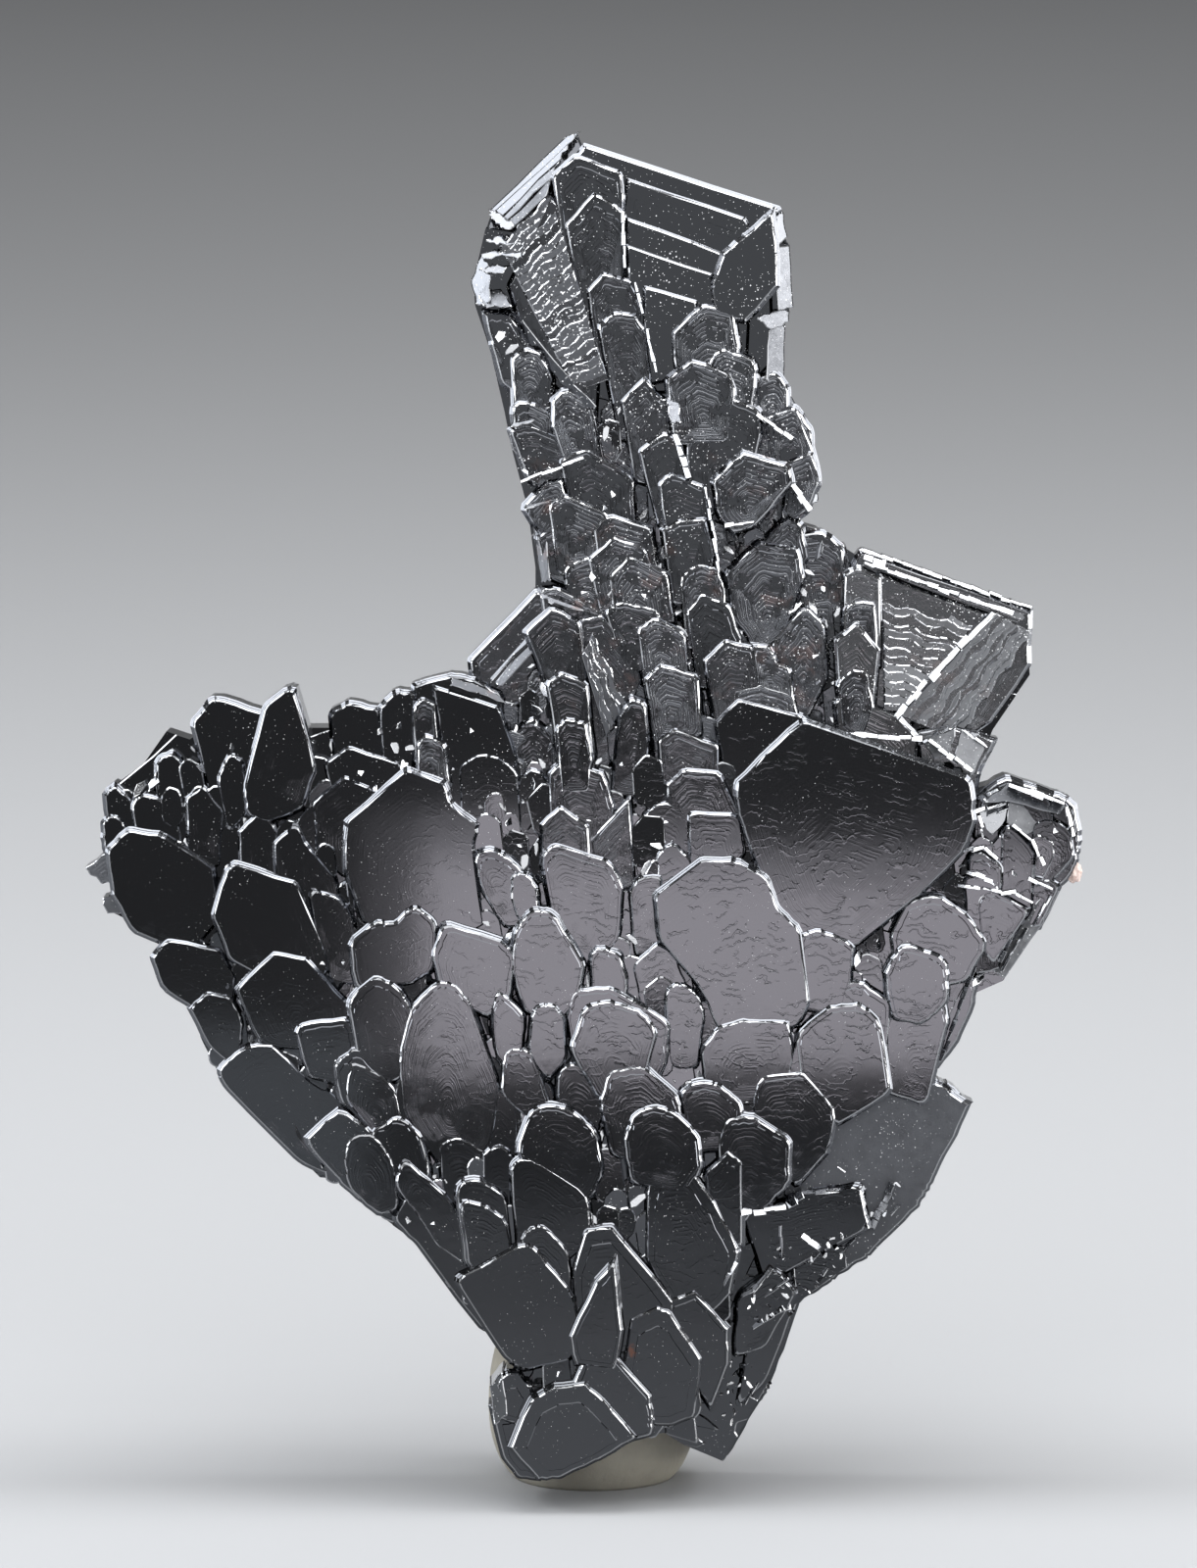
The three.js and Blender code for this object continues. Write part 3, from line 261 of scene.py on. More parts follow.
MIDDLE: PlateTable = [
    (1.5, [(-12.1, 28), (-10.8, 29.15), (-10, 28.95), (-8.8, 29.95), (-7.7, 29), (-7.8, 27), (-9, 26.4),
        (-11.8, 26.2)]),
    (1.5, [(-7.9, 27.5), (-7.3, 29), (-4.3, 28.1), (-3.7, 27.4), (-4, 25.6), (-5, 24.8), (-7.4, 25.6)]),
    (1.5, [(-12.2, 25.1), (-10.8, 26.4), (-9.6, 25.7), (-9, 24.7), (-8.8, 22.6), (-9.8, 21.4), (-11.6, 22)]),
    (1.2, [(-5.8, 32.5), (-4.9, 32.8), (-3.9, 32.2), (-2.6, 30.9), (-2.7, 29.9), (-4.2, 29.6), (-5.4, 30.8)]),
    (1.5, [(-9, 24.8), (-7.6, 26.1), (-6.8, 26), (-5.9, 24.9), (-4.5, 20.9), (-4.8, 18.4), (-5.8, 17),
        (-7.6, 17.2), (-9.4, 19.6), (-9.6, 22.4)]),
    (1.1, [(-14.9, 23.6), (-14.5, 23.9), (-12.1, 24.2), (-11.8, 22.8), (-12.6, 21.8), (-14.2, 22)]),
    (1.3, [(-12.9, 21.9), (-11.7, 22.8), (-10.4, 21.4), (-9.4, 19.2), (-10.6, 18.6), (-12.6, 20.2)]),
    (1.2, [(-11.1, 18.4), (-9.6, 19.25), (-8.5, 18.3), (-8, 16.6), (-9.2, 15.6), (-10.8, 16.8)]),
    (1.3, [(-4.9, 24.6), (-4.6, 25.7), (-3.2, 24.4), (-3.3, 23), (-3.8, 22), (-4.7, 22.8)]),
    (1.2, [(-4.3, 22.3), (-4, 22.7), (-2.9, 22.6), (-1.9, 20.4), (-2.6, 19.6), (-4.4, 20.6)]),
    (1.6, [(-3.7, 28.6), (-2.9, 29.75), (-1.8, 29.6), (-0.2, 27), (-0.6, 25.2), (-1.6, 24.4), (-3.2, 24.8),
        (-3.9, 26.8)]),
    (1.1, [(-2.4, 32.3), (-1.8, 33.05), (1.1, 32.1), (1.8, 30.9), (1.6, 28.8), (0.4, 27.6), (-1.6, 28.6)]),
    (1.1, [(0.1, 27.4), (0.5, 27.8), (1.6, 27.5), (2, 26.2), (1.6, 25), (0.2, 25.2)]),
    (1.2, [(-1.1, 24.3), (-0.8, 25.6), (1.2, 25.8), (4.1, 24), (4, 22.4), (3, 20.8), (0.4, 20.8),
        (-0.8, 22.4)]),
    (1.6, [(-0.9, 22.7), (-0.2, 24.8), (1, 25.15), (2.7, 24.6), (3.5, 23.6), (2.6, 20.6), (0.6, 20.4)]),
    (1.4, [(0.6, 20), (1.1, 21.6), (2.8, 21.8), (4.6, 20.2), (4.8, 18.6), (3.8, 17.4), (1.2, 17.8)]),
    (1.2, [(4.7, 20.6), (5.8, 21.1), (6.9, 20.7), (7.8, 19.9), (7.8, 18.4), (5, 18.2)]),
    (1.6, [(1.8, 18), (2.3, 19.4), (3.4, 19.9), (4.5, 19.4), (5.6, 18.3), (5.8, 16.8), (4.8, 15.8),
        (2.2, 16.2)]),
    (1.5, [(-3.6, 17.6), (-2.9, 19.6), (-2, 19.9), (-0.8, 19.6), (0.4, 18.5), (0.8, 16.8), (0.2, 15.6),
        (-2.6, 15.4)]),
    (1.3, [(6.6, 18), (7, 19.1), (8.3, 19.3), (10.3, 18), (10.2, 16.2), (8.6, 15), (6.8, 15.8)]),
    (1, [(8.3, 19.8), (8.7, 21.2), (10.9, 21.5), (12.6, 19.5), (12.2, 18), (10.6, 16.8), (9.2, 17.8)]),
]
LOWER_LEFT: PlateTable = [
    (1.1, [(-18.8, 21.6), (-17.6, 22.6), (-16.2, 22.9), (-13.9, 20.7), (-13, 20.4), (-11, 18.3),
        (-11.2, 16.6), (-12.6, 15.9), (-14.6, 16.8), (-18.6, 20.8)]),
    (1.3, [(-14.4, 18), (-12.6, 19.6), (-10.9, 18.4), (-9.6, 15), (-10.6, 14.2), (-12.4, 15.7)]),
    (0.9, [(-9.9, 14), (-8.8, 15.9), (-7.2, 14.6), (-6, 13.8), (-4.2, 8.2), (-5.4, 8.4), (-8.7, 12.8)]),
    (1.2, [(-9.4, 17.1), (-7.2, 15.2), (-6.2, 14), (-6, 12.4), (-7.6, 13.2), (-9.8, 15.8)]),
    (1.2, [(-6.7, 15.6), (-5.9, 16.2), (-4.2, 15.3), (-3.8, 12.2), (-6.2, 12.4)]),
    (1.4, [(-6.7, 11), (-3.4, 12.8), (-2.9, 12.8), (-0.8, 10.3), (-0.5, 9), (-0.8, 7.4), (-3.4, 6.4),
        (-4.3, 7.2)]),
    (1.3, [(-3.9, 16.7), (-3.6, 17.1), (-2.8, 17.1), (-0.1, 15.4), (0.2, 13.6), (-1, 12.6), (-3.6, 12.6)]),
]
LOWER_RIGHT: PlateTable = [
    (1.2, [(-0.7, 11.6), (-0.1, 13.5), (1.2, 13.7), (4.3, 10.1), (4.2, 8.6), (1, 8), (-0.6, 9.6)]),
    (1.7, [(-0.9, 8.3), (0.4, 10.9), (1.3, 12), (1.7, 8.6), (1.4, 6.8), (-0.6, 7)]),
    (1.3, [(3, 15.3), (3.4, 16.7), (5, 16.8), (6.4, 14.9), (7.6, 12.6), (7.2, 10.8), (5.8, 9.6), (4.4, 10.2),
        (3, 12.2)]),
    (1.2, [(6, 16.4), (7.1, 17.5), (7.8, 16.9), (7.8, 13.6), (6.4, 13.6)]),
    (0.9, [(4.1, 9.9), (5.4, 10.4), (7.1, 8.5), (7.1, 7.2), (6.2, 5.8), (4.4, 7.6)]),
    (1, [(2.2, 9), (3.5, 9.6), (4.1, 9.4), (5.7, 7), (5.4, 4.8), (4.2, 3.6), (2.4, 3.8), (1.8, 6.6)]),
]
TIP: PlateTable = [
    (1.2, [(-0.1, 7.4), (0.9, 7.7), (3.1, 5.2), (3.3, 4.3), (3.2, 3.2), (0.6, 2.4), (-1, 5)]),
    (1.6, [(-2.9, 5), (-1.8, 5.6), (-0.2, 5.85), (0.7, 5.1), (2.4, 3.1), (0.5, 2), (-1.4, 1.1), (-2.5, 1),
        (-3.9, 2.6)]),
    (0.8, [(-4.6, 5.8), (-4.2, 6.2), (-3.4, 6.2), (-2.8, 5.2), (-3.4, 3.6), (-4.6, 4)]),
    (0.5, [(-4.9, 4.4), (-3.4, 4.6), (-2, 1.4), (-2.5, 0.8), (-3.5, 0.9), (-4.3, 1.9)]),
]

# --- the large plates of the back: u and v of the middle, and radius ---
BACK_PLATES: list[Point3] = [
    (2.5, 62.5, 4.6), (5.5, 55.5, 4.4), (1, 50.5, 3.6), (7, 46, 4.2), (0.5, 43, 3.8), (17.5, 42, 3.6),
    (11, 38.5, 4.8), (2.5, 35, 5.4), (18, 31, 4.8), (-6.5, 35, 4.6), (-13.5, 35, 3.9), (-20, 33, 4),
    (9.5, 28.5, 4.6), (-1.5, 26.5, 5), (-9, 27, 4.6), (-16.5, 26.5, 4.2), (15, 22, 3.6), (5.5, 20.5, 4.4),
    (-4.5, 18.5, 4), (-11.5, 19.5, 3.2),
]

# --- small front plates, above and below v 38, as the front plates above ---
SMALL_UPPER: PlateTable = [
    (0.9, [(4.7, 46.3), (5, 46.9), (5.6, 47.2), (6.6, 47), (7, 45.8), (6.8, 44.2), (5, 44.2)]),
    (0.7, [(-3.9, 55), (-3.6, 55.5), (-2.9, 55.4), (-1.9, 54.9), (-1.6, 53.6), (-3.6, 53.4)]),
    (0.9, [(0, 47.4), (1.3, 48.6), (2.9, 48), (3.6, 46.6), (0.6, 46)]),
    (0.8, [(0.9, 44.8), (1.6, 45.3), (2.6, 45.1), (3.6, 44.8), (3.8, 43.2), (1.8, 43)]),
    (0.6, [(-2.6, 48.6), (-1.8, 49), (0.2, 48.6), (0.4, 46.8), (-2.2, 46.6)]),
    (0.8, [(8.8, 48.4), (9.6, 49.1), (10.2, 49.6), (10.9, 49.2), (11.2, 48), (9, 47.4)]),
    (1, [(8.4, 43.1), (9.3, 43), (9.6, 42.2), (10.3, 41.9), (10.5, 40.6), (8.8, 40.4)]),
    (0.5, [(8.6, 56.6), (9.6, 57), (10.2, 56.2), (10.2, 54.2), (8.8, 54.2)]),
    (0.4, [(9, 54.6), (10.6, 55.2), (11.4, 54), (11.4, 52.4), (9.4, 52.6)]),
    (0.5, [(10.2, 52.4), (11.4, 52.9), (11.8, 51.4), (11.2, 50), (9.8, 50.2)]),
    (0.7, [(-2.4, 45.9), (-1.6, 46), (0.7, 44.7), (0.6, 43.4), (-2.2, 44.6)]),
    (1.3, [(-1.6, 38.9), (-1.1, 39.4), (-0.1, 39.1), (0.2, 37.6), (0, 36.4), (-1.4, 36.4)]),
    (0.4, [(-3.8, 38.6), (-2.8, 39.4), (-1.8, 38.6), (-1.8, 36.4), (-3.6, 36.6)]),
    (0.7, [(3.1, 40.1), (4.2, 40.7), (5.6, 40), (5.8, 38.4), (3.4, 38.2)]),
    (0.9, [(13.1, 45), (13.6, 45.3), (14.6, 45.3), (14.8, 43.6), (13, 43.4)]),
    (1.1, [(12.7, 41.2), (13.5, 41.9), (14.2, 41.7), (14.6, 40.2), (14, 39.2), (12.9, 39.6)]),
    (0.8, [(7.4, 40.8), (8.8, 41.1), (10.5, 40.5), (11, 39), (7.4, 38.8)]),
    (1, [(-8.9, 39.9), (-8.5, 40.4), (-7.8, 40.1), (-7.6, 38.6), (-8.8, 38.4)]),
    (1.1, [(-8.7, 38), (-8.3, 38.6), (-7.3, 38.1), (-7, 36.6), (-8.6, 36.2)]),
]
SMALL_LOWER: PlateTable = [
    (1, [(5.1, 34.6), (7.7, 34.5), (8, 33), (5.2, 32.6)]),
    (0.7, [(2.9, 34.6), (3.8, 35.2), (5, 34.6), (5.2, 32.4), (3, 32.4)]),
    (0.5, [(-3.6, 36.2), (-2.8, 36.9), (-2, 36.2), (-2, 33.8), (-3.6, 34)]),
    (0.9, [(3.5, 32.4), (4, 32.95), (4.4, 33), (5.3, 32.1), (5.2, 30.8), (3.6, 30.8)]),
    (1, [(3.9, 25.5), (4.3, 25.9), (5, 25.9), (5.6, 25.3), (5.9, 24.5), (5.6, 22.8), (4.2, 22.8)]),
    (1.1, [(8.8, 22.8), (9.1, 23.9), (10.2, 24), (10.4, 22.3), (10, 21.2), (8.8, 21.4)]),
    (1, [(7.4, 21.6), (7.8, 22), (8.8, 22), (9.2, 21.6), (10.1, 21.7), (10.5, 22.5), (10.8, 23.7),
        (11.6, 22.4), (11.2, 19.8), (7.8, 19.6)]),
    (0.5, [(21.2, 35.6), (22.2, 35.8), (23.6, 35.2), (23.8, 33.4), (21.4, 33.2)]),
    (0.6, [(22.6, 33.9), (23.4, 34.3), (24.6, 33.8), (24.8, 32.2), (23, 32)]),
    (1, [(19.1, 31.2), (19.8, 31.4), (20.6, 31.1), (21, 30.6), (20.8, 29.4), (19.4, 29.4)]),
    (0.9, [(-18.9, 36.3), (-18.3, 37.6), (-17.6, 37.2), (-17.2, 35.4), (-18.4, 34.8)]),
    (0.8, [(-23.3, 35.1), (-22.6, 35.5), (-21.1, 34.9), (-20.7, 33.4), (-20.8, 32.2), (-22.8, 32.6)]),
    (0.8, [(-24.8, 33.9), (-24.4, 34.4), (-24, 34.3), (-23.4, 33.6), (-23.4, 32.2), (-24.6, 32.4)]),
    (1, [(-14.2, 30.7), (-12.7, 30.3), (-12, 29.3), (-11.8, 27.6), (-12.8, 26.6), (-13.8, 28.2)]),
    (0.8, [(-6.6, 36.9), (-5.6, 37.6), (-4.4, 37.4), (-3.6, 36.6), (-3.4, 34.6), (-4.6, 33.6), (-6.4, 34.4)]),
    (1.2, [(-3.9, 31.4), (-3.4, 31.6), (-2.8, 31.2), (-2.5, 30.5), (-2.7, 29.9), (-3.4, 29.8), (-3.9, 30.4)]),
    (0.7, [(-17, 24.2), (-16, 24.6), (-15, 23.8), (-14.8, 22.4), (-16.4, 22)]),
    (1.3, [(-12, 22.1), (-10.4, 21.2), (-9.8, 20.6), (-9.4, 19.2), (-10.6, 18.6), (-12.4, 20.2)]),
    (1.1, [(-9.8, 20.9), (-8.9, 21.4), (-7.6, 20.8), (-7.2, 18.6), (-8.8, 18), (-9.8, 19)]),
    (1.3, [(-2.9, 24.2), (-2.6, 24.9), (-1.7, 24.9), (-1.2, 24.2), (-1.1, 22.6), (-2, 21.8), (-3, 22.6)]),
    (1, [(-1.6, 21.4), (-0.8, 22), (0.4, 21.4), (0.8, 19.6), (-0.2, 18.6), (-1.4, 19.2)]),
    (0.8, [(-3.8, 20.9), (-3, 21.4), (-1.8, 20.8), (-1.6, 19.2), (-3.2, 18.6), (-4, 19.4)]),
    (0.8, [(-5.2, 20.3), (-4.4, 20.6), (-3.6, 19.6), (-3.6, 17.8), (-4.8, 17.4), (-5.4, 18.8)]),
    (-0.2, [(12, 19.4), (14.5, 19.9), (16.8, 20.1), (18, 20.6), (18.5, 20.5), (19.3, 19.6), (18.6, 18.2),
        (17, 15.6), (12.6, 16.6)]),
    (1.35, [(-12.4, 17.2), (-12.1, 18.2), (-10.9, 18.4), (-9.9, 17), (-9.6, 15), (-10.6, 14.2),
        (-12.2, 15.6)]),
    (1.3, [(-6.5, 15), (-5.6, 14.9), (-4.6, 14.4), (-4.1, 13.9), (-3.8, 12.2), (-6, 12.2)]),
    (0.8, [(-7.6, 17.8), (-6.6, 18.2), (-5.2, 17.4), (-4.8, 15.6), (-7.2, 15.4)]),
    (0.8, [(-5.4, 17.4), (-4.4, 17.8), (-3.6, 16.9), (-3.6, 15), (-5.2, 15)]),
    (1.1, [(-3.4, 13.2), (-2.8, 13.7), (-2.2, 13.7), (-1, 12.4), (-0.8, 10.8), (-3, 10.8)]),
    (0.1, [(7.8, 14.5), (10, 14.8), (11, 15.2), (13.9, 15.6), (14.2, 13.4), (9, 12.2)]),
    (0.1, [(7.6, 10), (8.7, 10.8), (9.5, 11.4), (10.6, 10.2), (9, 7.4), (7.4, 8)]),
    (-0.05, [(8.2, 8.3), (9.6, 9.3), (10.4, 9.2), (9, 5.6), (7.6, 5.8)]),
]

# --- ledges: the lines that they start from and end at, how many, the rise at each, and the painted highlight (glint) ---
LEDGES: list[tuple[tuple[Point, Point], tuple[Point, Point], int, float, float, float]] = [
    (((-4.5, 63.4), (-1.9, 66)), ((-0.7, 56), (1, 56.6)), 22, 0.45, 0.75, 0),
    (((15, 46.2), (20.1, 44.5)), ((15.1, 39.7), (16, 39.7)), 15, 0.5, 0.7, 0.25),
    (((0.7, 44.7), (2.8, 41.6)), ((-0.3, 42.6), (0.9, 38.4)), 9, 0.2, 0.9, 0),
    (((14.1, 47.9), (22.7, 44.9)), ((14, 47.1), (22.2, 44.3)), 3, -0.3, 0.1, 0.3),
    (((22.6, 43.7), (18.8, 38.2)), ((20.8, 44.7), (15.9, 39.5)), 11, 0, 0.65, 0.2),
]

# --- faces that stand at an angle: rise, degrees turned right and up, and outline ---
FACETS: FacetTable = [
    (0.2, 44, 10, [(9.55, 64.9), (9.95, 65.2), (10.15, 63.9), (9.6, 63.2)]),
    (0.1, 44, 10, [(9.6, 63.3), (10.35, 63.5), (10.5, 60.3), (9.7, 60.1)]),
    (0.1, 40, 18, [(8.6, 59.7), (9.6, 60.2), (10.4, 60.1), (10.2, 59.5), (9.4, 59.1)]),
    (0.2, 44, 10, [(9.2, 59.3), (10.1, 59.4), (10, 56.2), (9.1, 56.5)]),
    (0.2, 30, 25, [(9.4, 56.2), (10.2, 56), (11.4, 54.1), (10.6, 53.8)]),
    (0.2, 44, 8, [(10.9, 53.9), (11.5, 53.9), (11.8, 50.4), (11.1, 50)]),
    (-0.6, -36, 32, [(-0.5, 69.3), (-1, 69.1), (-5.1, 65.3), (-4.85, 65.05), (-0.85, 68.75)]),
    (-0.3, -33, 29, [(-0.95, 68.7), (-4.9, 65.1), (-4.6, 64.75), (-1.4, 67.9)]),
    (0, -36, 32, [(-1.45, 67.85), (-4.6, 64.75), (-4.3, 64.5), (-1.9, 66.9)]),
    (0.3, -31, 28, [(-1.9, 66.85), (-4.3, 64.5), (-3.9, 64.2), (-2.2, 65.9)]),
    (0.1, -8, 42, [(-5.1, 65.3), (-4.7, 65.2), (-4.3, 64.9), (-3.8, 64.5), (-3.9, 64.2), (-4.5, 64.4),
        (-5, 64.9)]),
    (0.2, -5, 40, [(-5.3, 63.7), (-4.9, 63.8), (-4.4, 64), (-3.8, 63.9), (-3.4, 63.6), (-3.9, 63.5),
        (-4.6, 63.5)]),
    (0.3, -10, 42, [(-5.5, 63), (-4.7, 63.3), (-4, 63.1), (-3.3, 63.3), (-3.5, 62.8), (-4.4, 62.9),
        (-5.3, 62.7)]),
    (0.4, -6, 40, [(-5.6, 62.2), (-4.9, 62.5), (-4.1, 62.3), (-4.4, 62), (-5.2, 62)]),
    (0.1, -43, 13, [(-6, 61.6), (-5.5, 62.9), (-5, 62.4), (-5, 60.6), (-5.7, 60.4)]),
    (0.6, -32, -6, [(-5, 61.3), (-3.7, 60), (-0.7, 56.4), (0.5, 55.2), (0, 55.1), (-1.1, 56.1), (-4, 59.5),
        (-5.1, 60.9)]),
    (0.1, -8, 0, [(-25.7, 31.6), (-24.5, 32.6), (-24, 31.6), (-24.3, 30.9), (-24.9, 30.9)]),
    (0.2, -6, 2, [(-24.8, 30.1), (-24.1, 30.6), (-23.6, 29.4), (-24.6, 29.3)]),
    (0.3, -12, 40, [(-5.7, 61), (-4.4, 61.2), (-3.9, 60.3), (-5.3, 60.3)]),
    (0.5, -10, 38, [(-4, 54.1), (-3.6, 55.3), (-1.9, 55.2), (-3, 54.4)]),
    (0.5, -10, 42, [(-3.3, 50), (-2.6, 51), (-1.4, 51.4), (-1.9, 50.4)]),
    (0.6, 17, 40, [(-2.4, 45.9), (-1.7, 46), (0.6, 45.1), (0.6, 44.6), (-1.8, 45.2), (-2.4, 45.5)]),
    (-0.4, -34, 31, [(-2.65, 45.9), (-6, 42.3), (-5.7, 42), (-2.4, 45.5)]),
    (-0.1, -30, 28, [(-2.35, 45.4), (-5.65, 41.9), (-5.3, 41.6), (-2.05, 45)]),
    (0.2, -34, 31, [(-2, 44.9), (-5.2, 41.5), (-4.9, 41.25), (-1.75, 44.6)]),
    (0.5, -30, 27, [(-1.8, 44.45), (-4.75, 41.2), (-4.4, 40.9), (-1.6, 44)]),
    (0, 16, 40, [(14, 47.9), (22.65, 44.95), (22.6, 44.65), (13.95, 47.6)]),
    (0.8, 20, 39, [(-7, 41.4), (-5, 40.9), (-4.2, 40.1), (-5.6, 40.7), (-7, 41)]),
    (1.4, 12, 40, [(4, 55.7), (4.6, 55.6), (4.7, 54.4), (4.2, 54.4)]),
    (0.6, 16, 33, [(20.2, 35.1), (21.4, 36.1), (24.6, 35), (24, 34.5), (21.3, 35.1)]),
    (0.4, 40, 12, [(-3.9, 57.3), (-3.5, 57.4), (-3.2, 55.5), (-3.6, 55.4)]),
    (0.6, -36, 8, [(-3, 49.8), (-2.3, 49.9), (-1.9, 46.4), (-2.4, 46.2)]),
    (1, -30, 12, [(-5, 5.6), (-4.3, 6.3), (-4.1, 4.2), (-4.7, 3.6)]),
]

# --- dull broken faces that stand at an angle and are painted brighter, as above ---
PAINTED_BRIGHT_FACETS: FacetTable = [
    (0.5, -12, 12, [(17, 38.3), (18.8, 38.9), (18.5, 37.6), (17.6, 37.2)]),
    (0.5, 14, 11, [(19, 38.8), (20.5, 38.2), (19.6, 36.4), (18.7, 37.4)]),
    (0.5, 18, -8, [(24.1, 30.6), (23.3, 29), (21.3, 26.1), (20.7, 26.4), (22.3, 29.3), (23.5, 30.8)]),
    (0.4, 18, -8, [(19.5, 25.3), (18.7, 23.3), (17.6, 21.2), (17.2, 21.7), (18.5, 24.6), (19.2, 25.7)]),
    (0.7, 10, 12, [(19.9, 34.2), (20.2, 35.3), (21.5, 35.5), (21.3, 34.2), (20.6, 33.4)]),
    (0.6, 14, 10, [(21.3, 34), (21.5, 35.2), (23, 34.8), (23, 33.8), (22.2, 33.2)]),
]

# --- the ways that small leaning crystals face, so that they sparkle: degrees turned right and up ---
SPARKLES: list[Point] = [
    (-35, 31), (35, 31), (0, 44), (-20, 13), (18, 14), (0, 26), (44, 13), (-44, 13), (6, 12),
]

# --- the turns that show a light in a face: degrees turned right and up ---
LIT_TURNS: list[Point] = [
    (-44, 13), (-35, 31), (0, 44), (35, 31), (44, 13),
]

# --- broken bright edges: start, end, width, and rise ---
STROKES: StrokeTable = [
    ((14, 47.95), (22.6, 44.95), 0.16, 0.1),
    ((14.1, 47.3), (21.6, 44.7), 0.2, 0.45),
    ((14, 47.6), (15.2, 47.2), 0.4, 0.3),
    ((15.6, 39.3), (17.2, 41.2), 0.3, 0.8),
    ((17.4, 41.3), (18.9, 42.9), 0.34, 0.8),
    ((19, 43), (20.6, 44.7), 0.28, 0.8),
    ((1.85, 62.4), (1.75, 65.2), 0.16, 1.2),
    ((2.75, 60), (2.35, 61.6), 0.16, 1.2),
    ((3.45, 57), (2.95, 59.2), 0.16, 1.2),
    ((6.7, 46.8), (6, 51.1), 0.14, 1.3),
    ((5.1, 51.6), (4.4, 53.9), 0.26, 1.4),
    ((8.6, 54.9), (10.4, 53.6), 0.16, 1.1),
    ((10.2, 51.6), (11.3, 50), 0.3, 1),
    ((-3.5, 51.4), (-0.2, 52.6), 0.16, 0.95),
    ((7, 49.2), (8.4, 49.4), 0.18, 1.35),
    ((13, 38.6), (17, 38.3), 0.24, 0.9),
    ((19.9, 34.4), (20.2, 33.2), 0.14, 1),
    ((19, 32.6), (20.2, 32.9), 0.2, 1),
    ((20.2, 32.8), (20.9, 32.2), 0.16, 1),
    ((21.5, 36), (24.3, 35), 0.24, 0.85),
    ((24.4, 34.9), (24.8, 33.3), 0.2, 0.7),
    ((22.4, 31.3), (23.6, 30.7), 0.16, 1.1),
    ((23.6, 30.4), (22.7, 28.8), 0.12, 0.85),
    ((22.3, 28.7), (21.1, 26.6), 0.12, 0.75),
    ((21.6, 34), (22.6, 33.2), 0.2, 1.15),
    ((22.6, 33.2), (23.2, 31.9), 0.2, 1.15),
    ((18.9, 30.9), (20, 30.8), 0.18, 1.1),
    ((20, 30.8), (21, 30.5), 0.12, 1.1),
    ((21, 30.5), (21.7, 30.6), 0.16, 1.1),
    ((21.6, 30.6), (22.6, 30), 0.14, 1.05),
    ((19.3, 31.6), (20.6, 31.1), 0.26, 1.1),
    ((19.8, 34.6), (21, 35.1), 0.18, 0.95),
    ((22, 29.2), (21, 27), 0.22, 0.75),
    ((19.7, 26.8), (19.1, 25.2), 0.2, 0.78),
    ((19.1, 25.1), (18.5, 23.5), 0.24, 0.55),
    ((18.5, 23.4), (17.9, 22), 0.2, 0.32),
    ((17.4, 38.2), (18.8, 37.2), 0.2, 0.75),
    ((19.2, 38.7), (20.3, 37.9), 0.2, 0.35),
    ((18.7, 37.3), (19.6, 36.6), 0.22, 0.8),
    ((16.9, 38), (18.3, 38.8), 0.18, 0.28),
    ((20, 35.2), (20.9, 35.7), 0.34, 0.35),
    ((20.3, 34.5), (21.4, 34.9), 0.2, 0.68),
    ((7.8, 14.4), (10.1, 14.65), 0.36, 0.95),
    ((10.1, 14.8), (10.9, 15.2), 0.6, 0.3),
    ((10.9, 15.2), (13.9, 15.55), 0.2, 0.05),
]

# --- broken bright edges on the low ground at the right: start, end, width, and w ---
LOW_STROKES: StrokeTable = [
    ((13.9, 15.3), (14.3, 13.5), 0.2, 5.52),
    ((14.4, 13.4), (15.5, 15.7), 0.3, 5.4),
    ((6.9, 10.7), (7.5, 11.9), 0.2, 7.1),
    ((7.8, 10), (8.4, 10.3), 0.2, 6.12),
    ((8.4, 10.3), (9.3, 11.5), 0.22, 6.12),
    ((9.8, 12), (9.8, 13.5), 0.14, 5.54),
    ((10.9, 13.1), (11.8, 12.4), 0.32, 5.56),
    ((11.8, 12.3), (11.3, 11.7), 0.26, 5.5),
    ((10.5, 10.5), (10.4, 11.5), 0.22, 5.2),
    ((11.7, 10.6), (12.2, 11.4), 0.28, 4.9),
    ((8.4, 8.5), (9.9, 9.4), 0.26, 6.12),
    ((9.8, 9.4), (10.3, 9.5), 0.24, 6.1),
    ((9, 10.1), (10.1, 10.9), 0.16, 6.1),
    ((12.9, 12.2), (13.6, 12.9), 0.16, 4.88),
    ((12.7, 16.6), (13.1, 16.3), 0.12, 4.87),
    ((15.4, 14), (15.9, 14.6), 0.16, 4.87),
    ((8, 4.6), (8.6, 5.6), 0.16, 5.95),
]

# --- bare ground that tiny crystals are strewn over: w of the ground under them, and outline ---
STREWN: list[tuple[float, Outline]] = [
    (5.44, [(9.3, 12.3), (12.9, 13.5), (14, 13.4), (11.9, 11.7), (9.6, 11.5)]),
    (6.02, [(7.9, 9.6), (9.6, 11.5), (10.4, 10), (9, 8.2)]),
    (4.75, [(10.5, 10.4), (11.6, 11.5), (13.6, 12.9), (12.6, 11.1), (11, 9.9)]),
    (4.75, [(13.6, 15.2), (14.2, 15.4), (14.9, 13.9), (15.6, 15.8), (16, 15.5), (15, 13), (14.2, 13.2)]),
    (5.85, [(7.2, 6.6), (8.4, 7), (8.2, 4.6), (7.4, 3.2), (6.6, 3.6)]),
]


def anticlockwise(outline: Outline) -> Outline:
    """Gives the outline in anticlockwise order, in which its area is above zero."""
    sides = zip(outline, outline[1:] + outline[:1])
    twice_the_area = sum(u0 * v1 - u1 * v0 for (u0, v0), (u1, v1) in sides)
    return list(outline) if twice_the_area > 0 else list(reversed(outline))


